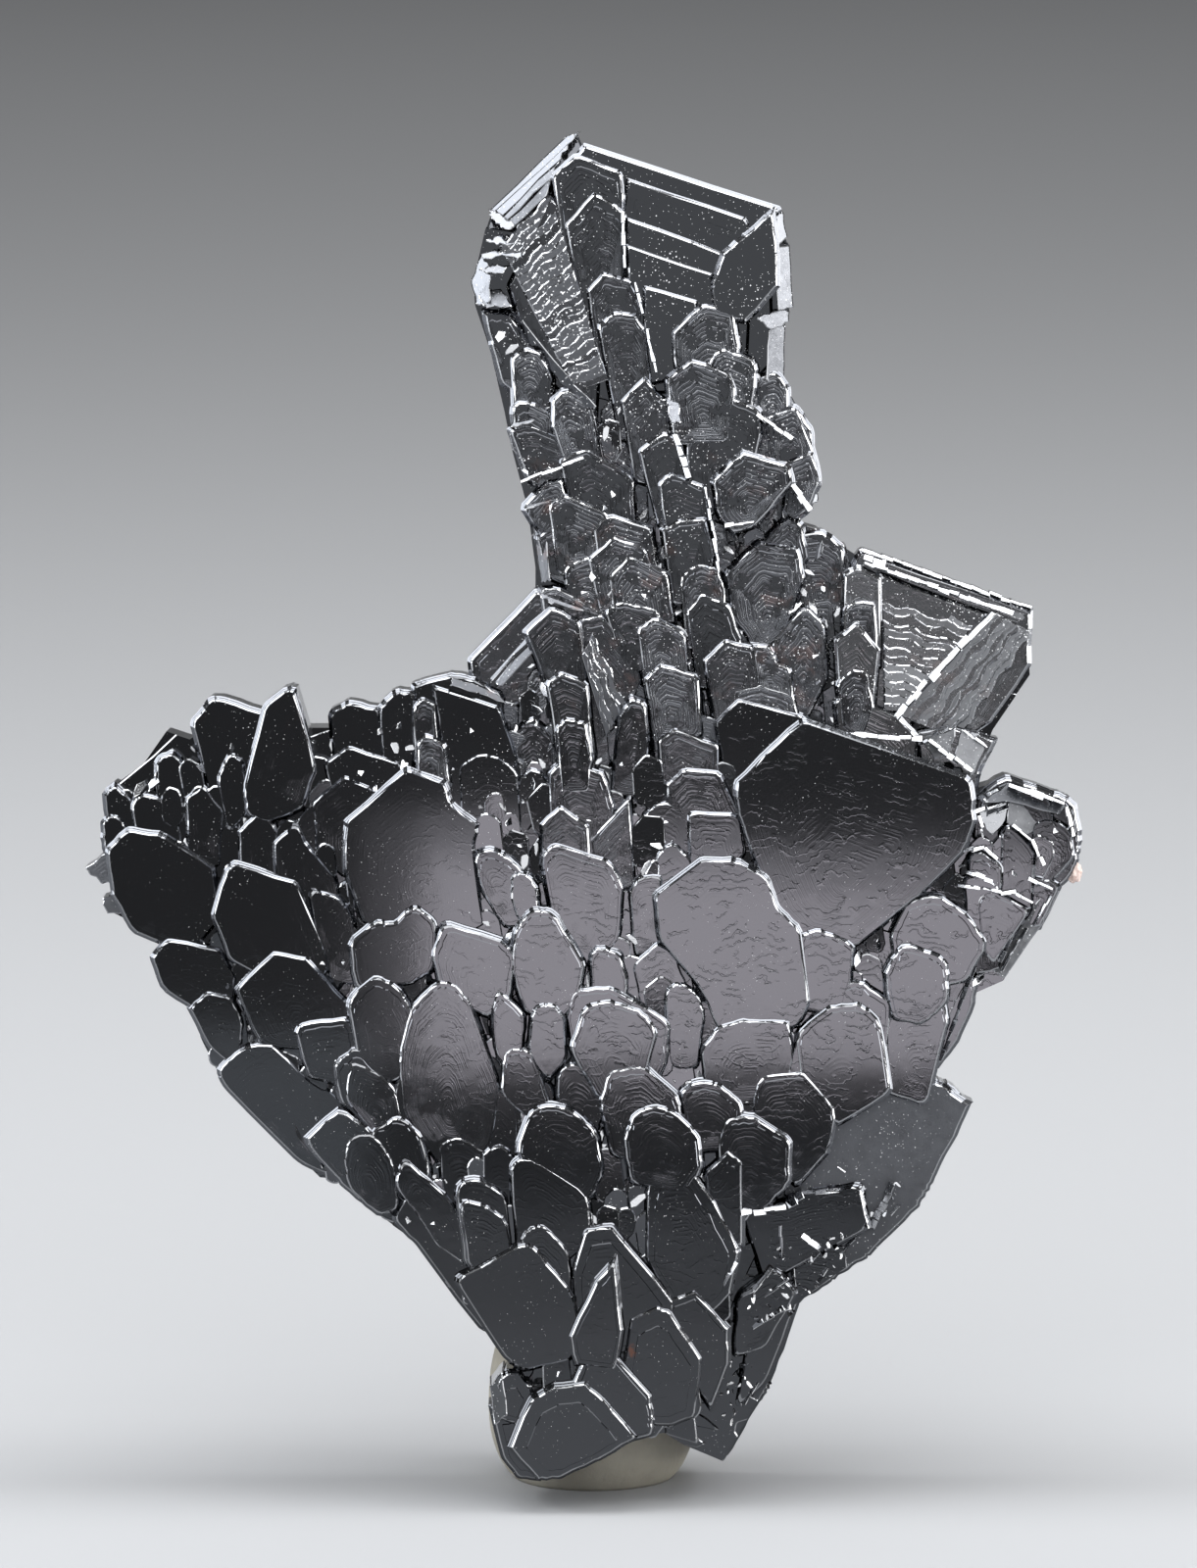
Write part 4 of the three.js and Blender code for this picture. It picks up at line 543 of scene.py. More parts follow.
def offset_outline(outline: Outline, distance: float) -> Outline:
    """Moves every edge of an anticlockwise outline outwards.

    Args:
        outline: corners in anticlockwise order.
        distance: how far out each edge goes; below zero it goes in.

    Returns:
        The moved outline, with as many corners.
    """
    moved = []
    count = len(outline)
    for index, corner in enumerate(outline):
        before = Vector(outline[index - 1])
        here = Vector(corner)
        after = Vector(outline[(index + 1) % count])
        edge_in = (here - before).normalized()
        edge_out = (after - here).normalized()
        normal = Vector((edge_in.y + edge_out.y, -edge_in.x - edge_out.x))
        length = max(normal.length, SHARP_CORNER)
        direction = normal.normalized() if normal.length > TINY else Vector((edge_in.y, -edge_in.x))
        moved.append(tuple(here + direction * (2.0 * distance / length)))
    return moved


def cut_back(corner: Vector, neighbour: Vector, radius: float) -> Vector:
    """Gives the point that lies a radius from a corner on one of its edges, or less on a short edge."""
    edge = neighbour - corner
    return corner + edge.normalized() * min(radius, SHARE_OF_EDGE * edge.length)


def rim_points(outline: Outline, radius: float, curve: int, side: int) -> Outline:
    """Rounds each corner with a short curve and puts extra points on each side.

    Args:
        outline: corners in order.
        radius: how far along its edges a corner is cut back.
        curve: points added on each corner's curve besides its two ends.
        side: points added between two corners.

    Returns:
        The finer outline.
    """
    if radius == 0.0:
        return list(outline)
    fine = []
    count = len(outline)
    for index, corner in enumerate(outline):
        here = Vector(corner)
        after = Vector(outline[(index + 1) % count])
        start = cut_back(here, Vector(outline[index - 1]), radius)
        end = cut_back(here, after, radius)
        onward = cut_back(after, here, radius)
        for step in range(curve + 2):
            t = step / (curve + 1)
            fine.append(tuple(start * (1 - t) ** 2 + here * (2 * t * (1 - t)) + end * t ** 2))
        for step in range(side):
            fine.append(tuple(end.lerp(onward, (step + 1) / (side + 1))))
    return fine


def half_width(outline: Outline) -> float:
    """Gives the distance from an outline's middle to its nearest edge.

    Args:
        outline: corners in order.

    Returns:
        The distance, in mm.
    """
    middle = sum((Vector(p) for p in outline), Vector((0.0, 0.0))) / len(outline)
    nearest = math.inf
    for start, end in zip(outline, outline[1:] + outline[:1]):
        along = Vector(end) - Vector(start)
        if along.length < TINY:
            continue
        share = max(0.0, min(1.0, (middle - Vector(start)).dot(along) / along.length_squared))
        nearest = min(nearest, (Vector(start) + along * share - middle).length)
    return nearest


def loft(rings: list[list[Vector]], flat_from: int = -1, heart: Vector | None = None) -> bmesh.types.BMesh:
    """Makes a closed body from rings of as many points each, from the lowest w to the highest.

    Every corner keeps how far in from the rim it lies, and every face whether it is part of the flat front.

    Args:
        rings: the rings, each anticlockwise seen from high w.
        flat_from: the ring that the flat front starts at; below zero there is none.
        heart: the point that the growth lines close in on.

    Returns:
        The body as a new bmesh.
    """
    body = bmesh.new()
    ring_layer = body.loops.layers.float.new(RING)
    lines_layer = body.faces.layers.float.new(LINES)
    body.faces.layers.float.new(DULL)
    body.faces.layers.float.new(GLINT)
    layers = [[body.verts.new(point) for point in ring] for ring in rings]
    count = len(rings[0])
    depth = {}
    front = []
    if flat_from >= 0:
        for layer in layers[flat_from:]:
            for vert, point in zip(layer, rings[flat_from]):
                depth[vert] = (point.to_2d() - vert.co.to_2d()).length
    for level, (lower, upper) in enumerate(zip(layers, layers[1:])):
        for index in range(count):
            following = (index + 1) % count
            face = body.faces.new((lower[index], lower[following], upper[following], upper[index]))
            if 0 <= flat_from <= level:
                front.append(face)
            elif level == flat_from - 1:
                face[lines_layer] = BEVEL_FACE
    close_flat(body, layers[0])
    if heart is not None and sees_all(rings[-1], heart):
        middle = body.verts.new((heart.x, heart.y, rings[-1][0].z))
        depth[middle] = max((point.to_2d() - heart.to_2d()).length for point in rings[flat_from])
        following = layers[-1][1:] + layers[-1][:1]
        top = [body.faces.new((vert, after, middle)) for vert, after in zip(layers[-1], following)]
    else:
        top = close_flat(body, layers[-1])
    for face in front + top if flat_from >= 0 else []:
        face[lines_layer] = FRONT_FACE
        for loop in face.loops:
            loop[ring_layer] = depth[loop.vert]
    bmesh.ops.recalc_face_normals(body, faces=body.faces[:])
    if body.calc_volume(signed=True) < 0.0:
        bmesh.ops.reverse_faces(body, faces=body.faces[:])
    return body


def sees_all(rim: list[Vector], heart: Vector) -> bool:
    """Tells whether straight lines from the heart reach every point of a rim from inside.

    Args:
        rim: points in anticlockwise order.
        heart: the point they are seen from.

    Returns:
        Whether they do.
    """
    for start, end in zip(rim, rim[1:] + rim[:1]):
        turn = (start.x - heart.x) * (end.y - heart.y) - (start.y - heart.y) * (end.x - heart.x)
        if turn <= LEAST_TURN:
            return False
    return True


def close_flat(body: bmesh.types.BMesh, layer: list[bmesh.types.BMVert]) -> list[bmesh.types.BMFace]:
    """Closes a body across a flat ring, whatever the ring's shape, and gives the new faces."""
    flat = [Vector((vert.co.x, vert.co.y, 0.0)) for vert in layer]
    return [body.faces.new([layer[corner] for corner in corners]) for corners in tessellate_polygon([flat])]


def to_mesh(body: bmesh.types.BMesh, name: str) -> bpy.types.Mesh:
    """Turns a bmesh into mesh data, and frees it.

    Args:
        body: the bmesh.
        name: what the mesh is called.

    Returns:
        The mesh.
    """
    mesh = bpy.data.meshes.new(name)
    body.to_mesh(mesh)
    body.free()
    return mesh


def to_triangles(body: bmesh.types.BMesh, name: str) -> bpy.types.Mesh:
    """Turns a bmesh into mesh data with all faces triangulated, and frees it."""
    bmesh.ops.triangulate(body, faces=body.faces[:])
    return to_mesh(body, name)


def put_in_scene(name: str, data: bpy.types.ID) -> bpy.types.Object:
    """Makes an object of some data, and links it to the scene."""
    piece = bpy.data.objects.new(name, data)
    bpy.context.scene.collection.objects.link(piece)
    return piece


class Operation(Enum):
    """How two closed meshes are combined."""

    UNION = "UNION"
    INTERSECT = "INTERSECT"


class Joiner:
    """Joins and cuts closed meshes on two scratch objects."""

    def __init__(self) -> None:
        """Makes the scratch objects."""
        self.first = put_in_scene("joiner_first", bpy.data.meshes.new("joiner_first"))
        self.second = put_in_scene("joiner_second", bpy.data.meshes.new("joiner_second"))
        self.boolean = self.first.modifiers.new("combine", "BOOLEAN")
        self.boolean.solver = "MANIFOLD"
        self.boolean.object = self.second

    def combine(self, first: bpy.types.Mesh, second: bpy.types.Mesh, operation: Operation) -> bpy.types.Mesh:
        """Combines two closed meshes.

        Args:
            first: the mesh that is kept or cut.
            second: the mesh that joins or cuts it.
            operation: how they are combined.

        Returns:
            A new mesh.
        """
        self.first.data = first
        self.second.data = second
        self.boolean.operation = operation.value
        graph = bpy.context.evaluated_depsgraph_get()
        graph.update()
        return bpy.data.meshes.new_from_object(self.first.evaluated_get(graph))

    def union(self, meshes: list[bpy.types.Mesh]) -> bpy.types.Mesh:
        """Joins many meshes, two and two, until one is left.

        Args:
            meshes: closed meshes, at least one.

        Returns:
            The one mesh.
        """
        while len(meshes) > 1:
            pairs = zip(meshes[::2], meshes[1::2])
            joined = [self.combine(first, second, Operation.UNION) for first, second in pairs]
            if len(meshes) % 2:
                joined.append(meshes[-1])
            meshes = joined
        return meshes[0]

    def close(self) -> None:
        """Takes the scratch objects out of the file."""
        bpy.data.objects.remove(self.first)
        bpy.data.objects.remove(self.second)


@dataclass(frozen=True)
class Growth:
    """How the plates of one place grew: sizes in mm."""

    corner: float = 0.25
    curve: int = 1
    side: int = 2
    wobble: float = 0.035
    bevel: float = 0.075
    bevel_drop: float = 0.07
    bevel_wobble: float = 0.018
    wall_out: float = 0.18
    wall_deep: float = 0.8
    ledges: int = 2
    rings: int = 0
    ring_gap: float = 0.3
    ring_step: float = 0.025
    ring_wobble: float = 0.04
    tilt_deg: float = 0.05
    lean_deg: float = 0.0
    lines: float = 0.02
    dull: float = 0.0
    edge_dull: float = 0.12
    # painted highlight: how much the whole plate, and its rim alone, are brightened
    glint: float = 0.0
    edge_glint: float = 0.4


# --- the smallest crystals and the broken edges, which catch the light and carry painted highlight ---
SLIVER = Growth(corner=0.0, bevel=0.03, bevel_drop=0.02, wall_out=0.02, ledges=0, glint=0.45)


@dataclass
class Plates:
    """Makes single plates as closed meshes: sizes in mm, shares of a size, and ranges of random shares."""

    draws: random.Random
    bevel_share: float = 0.3
    bevel_spread: Point = (0.75, 1.25)
    least_root: float = 0.3
    ledge_spread: Point = (0.45, 0.8)
    ledge_narrowing: float = 0.75
    ledge_lip: float = 0.07
    line_spread: Point = (0.1, 1.0)
    wall_lines: float = 0.2
    heart_share: float = 0.28
    ring_slope: float = 0.055
    ring_spread: Point = (0.45, 1.7)
    ring_reach: float = 0.75
    root_clearance: float = 0.05

    def plate(self, outline: Outline, root: float, level: float, growth: Growth) -> bpy.types.Mesh:
        """Makes one plate: bevelled, ringed, and spreading in ledges towards its foot.

        Args:
            outline: corners in any order.
            root: w of its root.
            level: w of its face.
            growth: how it grew.

        Returns:
            The closed mesh.
        """
        shape = anticlockwise(outline)
        bevel = min(growth.bevel, self.bevel_share * half_width(shape))
        drop = growth.bevel_drop * bevel / growth.bevel * self.draws.uniform(*self.bevel_spread)
        deep = min(growth.wall_deep, level - root - self.least_root)
        steps = [(growth.wall_out, root)]
        for ledge in range(growth.ledges):
            out = growth.wall_out * (1.0 - ledge / growth.ledges)
            share = 1.0 - (ledge + self.draws.uniform(*self.ledge_spread)) / growth.ledges
            height = level - drop - deep * share
            steps.append((out, height))
            inner = out - self.ledge_narrowing * growth.wall_out / growth.ledges
            steps.append((inner, height + self.ledge_lip))
        steps += [(0.0, level - drop), (-bevel, level)]
        wobbles = []
        rings = []
        for out, w in steps:
            rim = rim_points(offset_outline(shape, out), growth.corner, growth.curve, growth.side)
            if not wobbles:
                wobbles = [self.draws.uniform(-growth.wobble, growth.wobble) for _ in rim]
            rim = self._wobble(rim, wobbles)
            sway = growth.bevel_wobble if out == 0.0 else 0.0
            rings.append([Vector((u, v, w + self.draws.uniform(-sway, sway))) for u, v in rim])
        heart = self._heart(rings[-1])
        flat_from = len(rings) - 1
        rings += self._growth_rings(rings[-1], heart, level, growth)
        body = loft(rings, flat_from, heart)
        self._finish(body, growth, self.draws.uniform(*self.line_spread))
        self._tilt(body, root, growth)
        return to_triangles(body, "plate")

    def _heart(self, rim: list[Vector]) -> Vector:
        """Gives the point near a face's foot that its growth lines close in on.

        Args:
            rim: the face's rim.

        Returns:
            The point, with w 0.
        """
        top = max(point.y for point in rim)
        foot = min(point.y for point in rim)
        middle = sum(point.x for point in rim) / len(rim)
        return Vector((middle, foot + self.heart_share * (top - foot), 0.0))

    def _finish(self, body: bmesh.types.BMesh, growth: Growth, strength: float) -> None:
        """Writes how strong a plate's growth lines are, how dull its faces are, and how much painted
        highlight brightens them.

        Args:
            body: the plate.
            growth: how it grew.
            strength: this plate's share of lines and dullness.
        """
        lines_layer = body.faces.layers.float[LINES]
        dull_layer = body.faces.layers.float[DULL]
        glint_layer = body.faces.layers.float[GLINT]
        for face in body.faces:
            on_front = face[lines_layer] == FRONT_FACE
            on_bevel = face[lines_layer] == BEVEL_FACE
            # painted highlight: rims and glinting plates are marked brighter than the rest
            face[glint_layer] = max(growth.glint, growth.edge_glint if on_bevel else 0.0)
            face[lines_layer] = growth.lines * strength if on_front else self.wall_lines
            face[dull_layer] = growth.dull * strength if on_front else growth.edge_dull

    @staticmethod
    def _wobble(rim: Outline, wobbles: list[float]) -> Outline:
        """Moves each point of a rim in or out by its own small distance.

        Args:
            rim: points in order.
            wobbles: the distance for each point, in mm.

        Returns:
            The moved rim.
        """
        moved = []
        for index, (u, v) in enumerate(rim):
            before = rim[index - 1]
            after = rim[(index + 1) % len(rim)]
            across = Vector((after[1] - before[1], before[0] - after[0])).normalized()
            moved.append((u + across.x * wobbles[index], v + across.y * wobbles[index]))
        return moved

    def _growth_rings(
        self, rim: list[Vector], heart: Vector, level: float, growth: Growth
    ) -> list[list[Vector]]:
        """Gives the low steps on a face: wide apart at its top, close together at its foot.

        Args:
            rim: the inner edge of the bevel.
            heart: the point that the steps close in on.
            level: w of the face.
            growth: how it grew.

        Returns:
            Two rings of points for each step.
        """
        reach = max(point.y for point in rim) - heart.y
        rings = []
        inset = 0.0
        for _ in range(growth.rings):
            inset += growth.ring_gap * self.draws.uniform(*self.ring_spread)
            if inset + self.ring_slope > self.ring_reach * reach:
                break
            sway = [self.draws.uniform(-growth.ring_wobble, growth.ring_wobble) for _ in rim]
            for extra in (0.0, self.ring_slope):
                w = level if extra == 0.0 else level + growth.ring_step
                ring = []
                for point, more in zip(rim, sway):
                    share = 1.0 - (inset + extra + more) / reach
                    u = heart.x + (point.x - heart.x) * share
                    v = heart.y + (point.y - heart.y) * share
                    ring.append(Vector((u, v, w)))
                rings.append(ring)
            inset += self.ring_slope + growth.ring_wobble
            level += growth.ring_step
        return rings

    def _tilt(self, body: bmesh.types.BMesh, root: float, growth: Growth) -> None:
        """Tilts a plate's face a trace.

        Args:
            body: the plate.
            root: w of its root, which stays.
            growth: how it grew.
        """
        lean_u = math.radians(self.draws.uniform(-growth.tilt_deg, growth.tilt_deg))
        lean_v = math.radians(self.draws.uniform(-growth.tilt_deg, growth.tilt_deg) - growth.lean_deg)
        middle = sum((vert.co for vert in body.verts), Vector()) / len(body.verts)
        for vert in body.verts:
            if vert.co.z > root + self.root_clearance:
                vert.co.z += (vert.co.x - middle.x) * lean_u + (vert.co.y - middle.y) * lean_v

    def facet(
        self, outline: Outline, root: float, level: float, turn: Point, growth: Growth
    ) -> bpy.types.Mesh:
        """Makes a plate whose face stands at an angle.

        Args:
            outline: corners in any order.
            root: w of its root.
            level: w of the middle of its face.
            turn: degrees that the face is turned right and up.
            growth: how it grew.

        Returns:
            The closed mesh.
        """
        mesh = self.plate(outline, root, level, growth)
        middle = sum((Vector(corner) for corner in outline), Vector((0.0, 0.0))) / len(outline)
        right = math.tan(math.radians(turn[0]))
        up = math.tan(math.radians(turn[1]))
        for vert in mesh.vertices:
            if vert.co.z > root + self.root_clearance:
                vert.co.z -= (vert.co.x - middle.x) * right + (vert.co.y - middle.y) * up
        return mesh

    @staticmethod
    def slab(outline: Outline, back: float, front: float) -> bpy.types.Mesh:
        """Makes a plain flat-sided piece between two levels."""
        rim = anticlockwise(outline)
        return to_triangles(loft([[Vector((u, v, w)) for u, v in rim] for w in (back, front)]), "slab")


def distance_from_focus(u: float, v: float) -> float:
    """Gives the distance from the point that the plates fan out from."""
    return math.hypot(u - FOCUS[0], v - FOCUS[1])


def front_level(u: float, v: float) -> float:
    """Gives w of the stepping front."""
    return FRONT_SLOPE * (REACH - distance_from_focus(u, v))


def back_level(u: float, v: float) -> float:
    """Gives w of the stepping back."""
    return BACK_AT_RIM + BACK_SLOPE * (REACH - distance_from_focus(u, v))


def standing(offset: Vector) -> Matrix:
    """Gives the turn and move from the face-on drawing in mm to the frame in metres."""
    turn = Matrix.Rotation(math.radians(90.0 - LEAN_DEG), 4, "X")
    return Matrix.Translation(offset) @ Matrix.Scale(MM, 4) @ turn


class Signal:
    """A shader socket whose arithmetic adds Math nodes to its sheet."""

    def __init__(self, sheet: "Sheet", socket: bpy.types.NodeSocket) -> None:
        """Wraps one output socket."""
        self.sheet = sheet
        self.socket = socket

    def _math(self, operation: str, *others: "Signal | float") -> "Signal":
        """Adds one Math node with this signal first."""
        return self.sheet.node("ShaderNodeMath", {"operation": operation}, (self, *others))

    def __add__(self, other: "Signal | float") -> "Signal":
        """Adds."""
        return self._math("ADD", other)

    __radd__ = __add__

    def __mul__(self, other: "Signal | float") -> "Signal":
        """Multiplies."""
        return self._math("MULTIPLY", other)

    __rmul__ = __mul__

    def __sub__(self, other: "Signal | float") -> "Signal":
        """Subtracts."""
        return self._math("SUBTRACT", other)

    def __rsub__(self, other: float) -> "Signal":
        """Subtracts this signal from a number."""
        return self.sheet.node("ShaderNodeMath", {"operation": "SUBTRACT"}, (other, self))

    def __lt__(self, other: "Signal | float") -> "Signal":
        """Gives 1 where this signal is the smaller, else 0."""
        return self._math("LESS_THAN", other)

    def sine(self) -> "Signal":
        """Gives the sine."""
        return self._math("SINE")

    def clamp(self) -> "Signal":
        """Keeps the signal between 0 and 1."""
        return self.sheet.node("ShaderNodeClamp", {}, (self,))

    def band(self, low: float, high: float, to_low: float = 0.0, to_high: float = 1.0) -> "Signal":
        """Maps low..high smoothly to to_low..to_high, and holds the ends."""
        settings = {"interpolation_type": "SMOOTHSTEP"}
        return self.sheet.node("ShaderNodeMapRange", settings, (self, low, high, to_low, to_high))


Inputs = dict[str | int, object] | tuple[object, ...]


class Sheet:
    """A material's node sheet, with one way of adding a node."""

    def __init__(self, name: str) -> None:
        """Makes the material with an empty sheet and its output.

        Args:
            name: what the material is called.
        """
        self.material = bpy.data.materials.new(name)
        self.material.use_nodes = True
        self.tree = self.material.node_tree
        self.tree.nodes.clear()
        self.output = self.tree.nodes.new("ShaderNodeOutputMaterial")

    def node(self, kind: str, settings: dict[str, object], inputs: Inputs, out: int | str = 0) -> Signal:
        """Adds a node.

        Args:
            kind: the node's type name.
            settings: properties by name, set before the sockets.
            inputs: values or signals by socket name, or in socket order.
            out: which output to give back.

        Returns:
            The chosen output as a signal.
        """
        added = self.tree.nodes.new(kind)
        for key, value in settings.items():
            setattr(added, key, value)
        pairs = inputs.items() if isinstance(inputs, dict) else enumerate(inputs)
        for key, value in pairs:
            socket = added.inputs[key]
            if isinstance(value, Signal):
                self.tree.links.new(value.socket, socket)
            else:
                socket.default_value = value
        return Signal(self, added.outputs[out])

    def attribute(self, name: str) -> Signal:
        """Reads a number that the mesh keeps for its faces or corners."""
        return self.node("ShaderNodeAttribute", {"attribute_name": name}, {}, "Fac")

    def part(self, place: Signal, axis: int) -> Signal:
        """Gives one part of a place: 0 across, 1 up, 2 out."""
        return self.node("ShaderNodeSeparateXYZ", {}, (place,), axis)

    def noise(self, place: Signal, scale: float, detail: float = 2.0, roughness: float = 0.5) -> Signal:
        """Gives noise from 0 to 1 at a place."""
        inputs = {"Vector": place, "Scale": scale, "Detail": detail, "Roughness": roughness}
        return self.node("ShaderNodeTexNoise", {}, inputs, "Fac")

    def mix(self, factor: Signal | float, first: object, second: object) -> Signal:
        """Mixes two colours."""
        inputs = {"Factor": factor, 6: first, 7: second}
        return self.node("ShaderNodeMix", {"data_type": "RGBA"}, inputs, 2)

    def bump(self, height: Signal, strength: float, distance: float) -> Signal:
        """Turns a height into a normal."""
        inputs = {"Strength": strength, "Distance": distance, "Height": height}
        return self.node("ShaderNodeBump", {}, inputs)

    def surface(self, inputs: dict[str, object]) -> bpy.types.Material:
        """Adds the Principled shader, joins it to the output and gives the finished material."""
        shader = self.node("ShaderNodeBsdfPrincipled", {}, inputs)
        self.tree.links.new(shader.socket, self.output.inputs["Surface"])
        return self.material


@dataclass(frozen=True)
class HematiteFinish:
    """Steel-grey faces like dark mirrors, with growth lines, dust, a trace of rust, painted shade that
    darkens the foot and painted highlight on glinting faces: places in mm.
    """

    colour: Colour = (0.120, 0.125, 0.137, 1.0)
    # painted shade: the darker grey that the lower plates fade to, in place of the dark surroundings that
    # they mirror
    lower: Colour = (0.066, 0.069, 0.075, 1.0)
    painted_shade_fade: Point = (9.0, 18.0)
    # painted highlight: the light grey that glinting faces and rims are mixed towards
    bright: Colour = (0.60, 0.61, 0.63, 1.0)
    roughness: float = 0.05
    dusty: Colour = (0.80, 0.81, 0.83, 1.0)
    dust_roughness: float = 0.6
    dust_fade: Point = (30.0, 52.0)
    dust_on_dull: float = 0.3
    speck_scales: Point = (3.1, 6.0)
    speck_sizes: Point = (0.15, 0.17)
    rusty: Colour = (0.30, 0.13, 0.08, 1.0)
    rust_roughness: float = 0.2
    film_strength: float = 0.2
    film_start: Point = (38.0, 42.0)
    film_end: Point = (50.0, 56.0)
    spot: Point = (2.25, 7.4)
    spot_flatness: float = 0.6
    spot_fade: Point = (0.01, 0.07)
    line_gap: float = 0.24
    line_depth: float = 1.9
    second_gap: float = 0.57
    wave_gap: float = 0.55
    wave_share: float = 0.1
    wave_sway: Point = (2.4, 0.5)
    ring_sway: Point = (0.5, 0.09)
    unevenness: float = 0.12
    pit_depth: float = 3.5
    relief_height: float = 0.006

    def material(self) -> bpy.types.Material:
        """Builds the material.

        Returns:
            The finished material.
        """
        sheet = Sheet("hematite")
        place = self._place(sheet)
        dust = self._dust(sheet, place)
        dull = sheet.attribute(DULL) * (sheet.noise(place, 1.4, 4.0, 0.7) * 0.6 + 0.1)
        rust = self._rust(sheet, place)
        # painted shade: the colour darkens towards the foot, from v 18 down to v 9, in place of the dark
        # surroundings that the lower plates mirror
        low = sheet.part(place, 1).band(*self.painted_shade_fade, 1.0, 0.0)
        grey = sheet.mix(rust, sheet.mix(low, self.colour, self.lower), self.rusty)
        # painted highlight: faces marked by the glint attribute, such as rims, are mixed towards a light grey
        tone = sheet.mix(sheet.attribute(GLINT), grey, self.bright)
        rough = dust * self.dust_roughness + rust * self.rust_roughness + dull + self.roughness
        return sheet.surface(
            {
                "Base Color": sheet.mix(dust, tone, self.dusty),
                "Metallic": 1.0 - dust,
                "Roughness": rough.clamp(),
                "Normal": self._relief(sheet, place),
            }
        )

    def _relief(self, sheet: Sheet, place: Signal) -> Signal:
        """Gives the normal: growth lines along each plate's own rim, waves across, unevenness and pits.

        Args:
            sheet: the node sheet.
            place: the face-on drawing's (u, v, w), in mm.

        Returns:
            The normal.
        """
        wide = sheet.noise(place, 0.7)
        fine = sheet.noise(place, 3.5)
        lined = self._arcs(sheet, place, wide, fine) + self._waves(sheet, place, wide, fine) * self.wave_share
        uneven = sheet.noise(place, 0.55)
        pits = sheet.noise(place, 3.2, 3.0, 0.7) * sheet.attribute(DULL)
        height = lined * self.line_depth + uneven * self.unevenness + pits * self.pit_depth
        return sheet.bump(height, 1.0, self.relief_height * MM)

    def _arcs(self, sheet: Sheet, place: Signal, wide: Signal, fine: Signal) -> Signal:
        """Gives the growth lines that follow each plate's rim, broken off here and there.

        Args:
            sheet: the node sheet.
            place: the face-on drawing's (u, v, w), in mm.
            wide: broad noise.
            fine: fine noise.

        Returns:
            Their height.
        """
        sway = sheet.attribute(RING) + wide * self.ring_sway[0] + fine * self.ring_sway[1]
        ring = sway * (2.0 * math.pi / self.line_gap)
        arcs = ring.sine().band(-0.1, 0.9) + (ring * self.second_gap + 1.0).sine().band(0.2, 0.95)
        return arcs * sheet.noise(place, 1.1).band(0.36, 0.58) * sheet.attribute(LINES)

    def _waves(self, sheet: Sheet, place: Signal, wide: Signal, fine: Signal) -> Signal:
        """Gives the sparse waves across the middle plates, fainter towards the left, the foot and the top.

        Args:
            sheet: the node sheet.
            place: the face-on drawing's (u, v, w), in mm.
            wide: broad noise.
            fine: fine noise.

        Returns:
            Their height.
        """
        across = sheet.part(place, 0)
        up = sheet.part(place, 1)
        turns = (up + wide * self.wave_sway[0] + fine * self.wave_sway[1]) * (2.0 * math.pi / self.wave_gap)
        worn = across.band(-10.0, 5.0, 0.15, 1.0) * up.band(19.0, 25.0, 0.25, 1.0)
        worn = worn * up.band(30.0, 36.0, 1.0, 0.35)
        return turns.sine().band(0.6, 1.0) * (sheet.noise(place, 0.8).band(0.45, 0.6) * worn)

    @staticmethod
    def _place(sheet: Sheet) -> Signal:
        """Gives the face-on drawing's (u, v, w) in mm at a point of the surface.

        Args:
            sheet: the node sheet.

        Returns:
            The place.
        """
        coordinates = sheet.node("ShaderNodeTexCoord", {}, {}, "Object")
        settings = {"rotation_type": "X_AXIS"}
        inputs = {"Vector": coordinates, "Angle": -math.radians(90.0 - LEAN_DEG)}
        turned = sheet.node("ShaderNodeVectorRotate", settings, inputs)
        inputs = {"Vector": turned, "Scale": 1.0 / MM}
        return sheet.node("ShaderNodeVectorMath", {"operation": "SCALE"}, inputs)

    def _dust(self, sheet: Sheet, place: Signal) -> Signal:
        """Gives 1 on fine specks of dust, thicker higher up.

        Args:
            sheet: the node sheet.
            place: the face-on drawing's (u, v, w), in mm.

        Returns:
            How much dust lies there, from 0 to 1.
        """
        higher = sheet.part(place, 1).band(*self.dust_fade, 0.45, 1.0)
        crowd = sheet.noise(place, 0.3).band(0.3, 0.75, 0.35, 1.0) * higher
        crowd = crowd + sheet.attribute(DULL) * self.dust_on_dull
        specks = []
        for scale, size in zip(self.speck_scales, self.speck_sizes):
            inputs = {"Vector": place, "Scale": scale}
            away = sheet.node("ShaderNodeTexVoronoi", {"feature": "F1"}, inputs, "Distance")
            specks.append(away < crowd * size)
        return (specks[0] + specks[1]).clamp()

    def _rust(self, sheet: Sheet, place: Signal) -> Signal:
        """Gives the strength of the brown film in the hollows of the trunk, and of the red spot low down.

        Args:
            sheet: the node sheet.
            place: the face-on drawing's (u, v, w), in mm.

        Returns:
            How rusty it is there, from 0 to 1.
        """
        height = sheet.part(place, 1)
        film = sheet.noise(place, 0.6, 4.0, 0.65).band(0.56, 0.72) * height.band(*self.film_start)
        film = film * height.band(*self.film_end, 1.0, 0.0) * self.film_strength
        aside = sheet.part(place, 0) - self.spot[0]
        above = (height - self.spot[1]) * self.spot_flatness
        spot = (aside * aside + above * above).band(*self.spot_fade, 0.5, 0.0)
        return film + spot * sheet.noise(place, 4.0).band(0.4, 0.55)


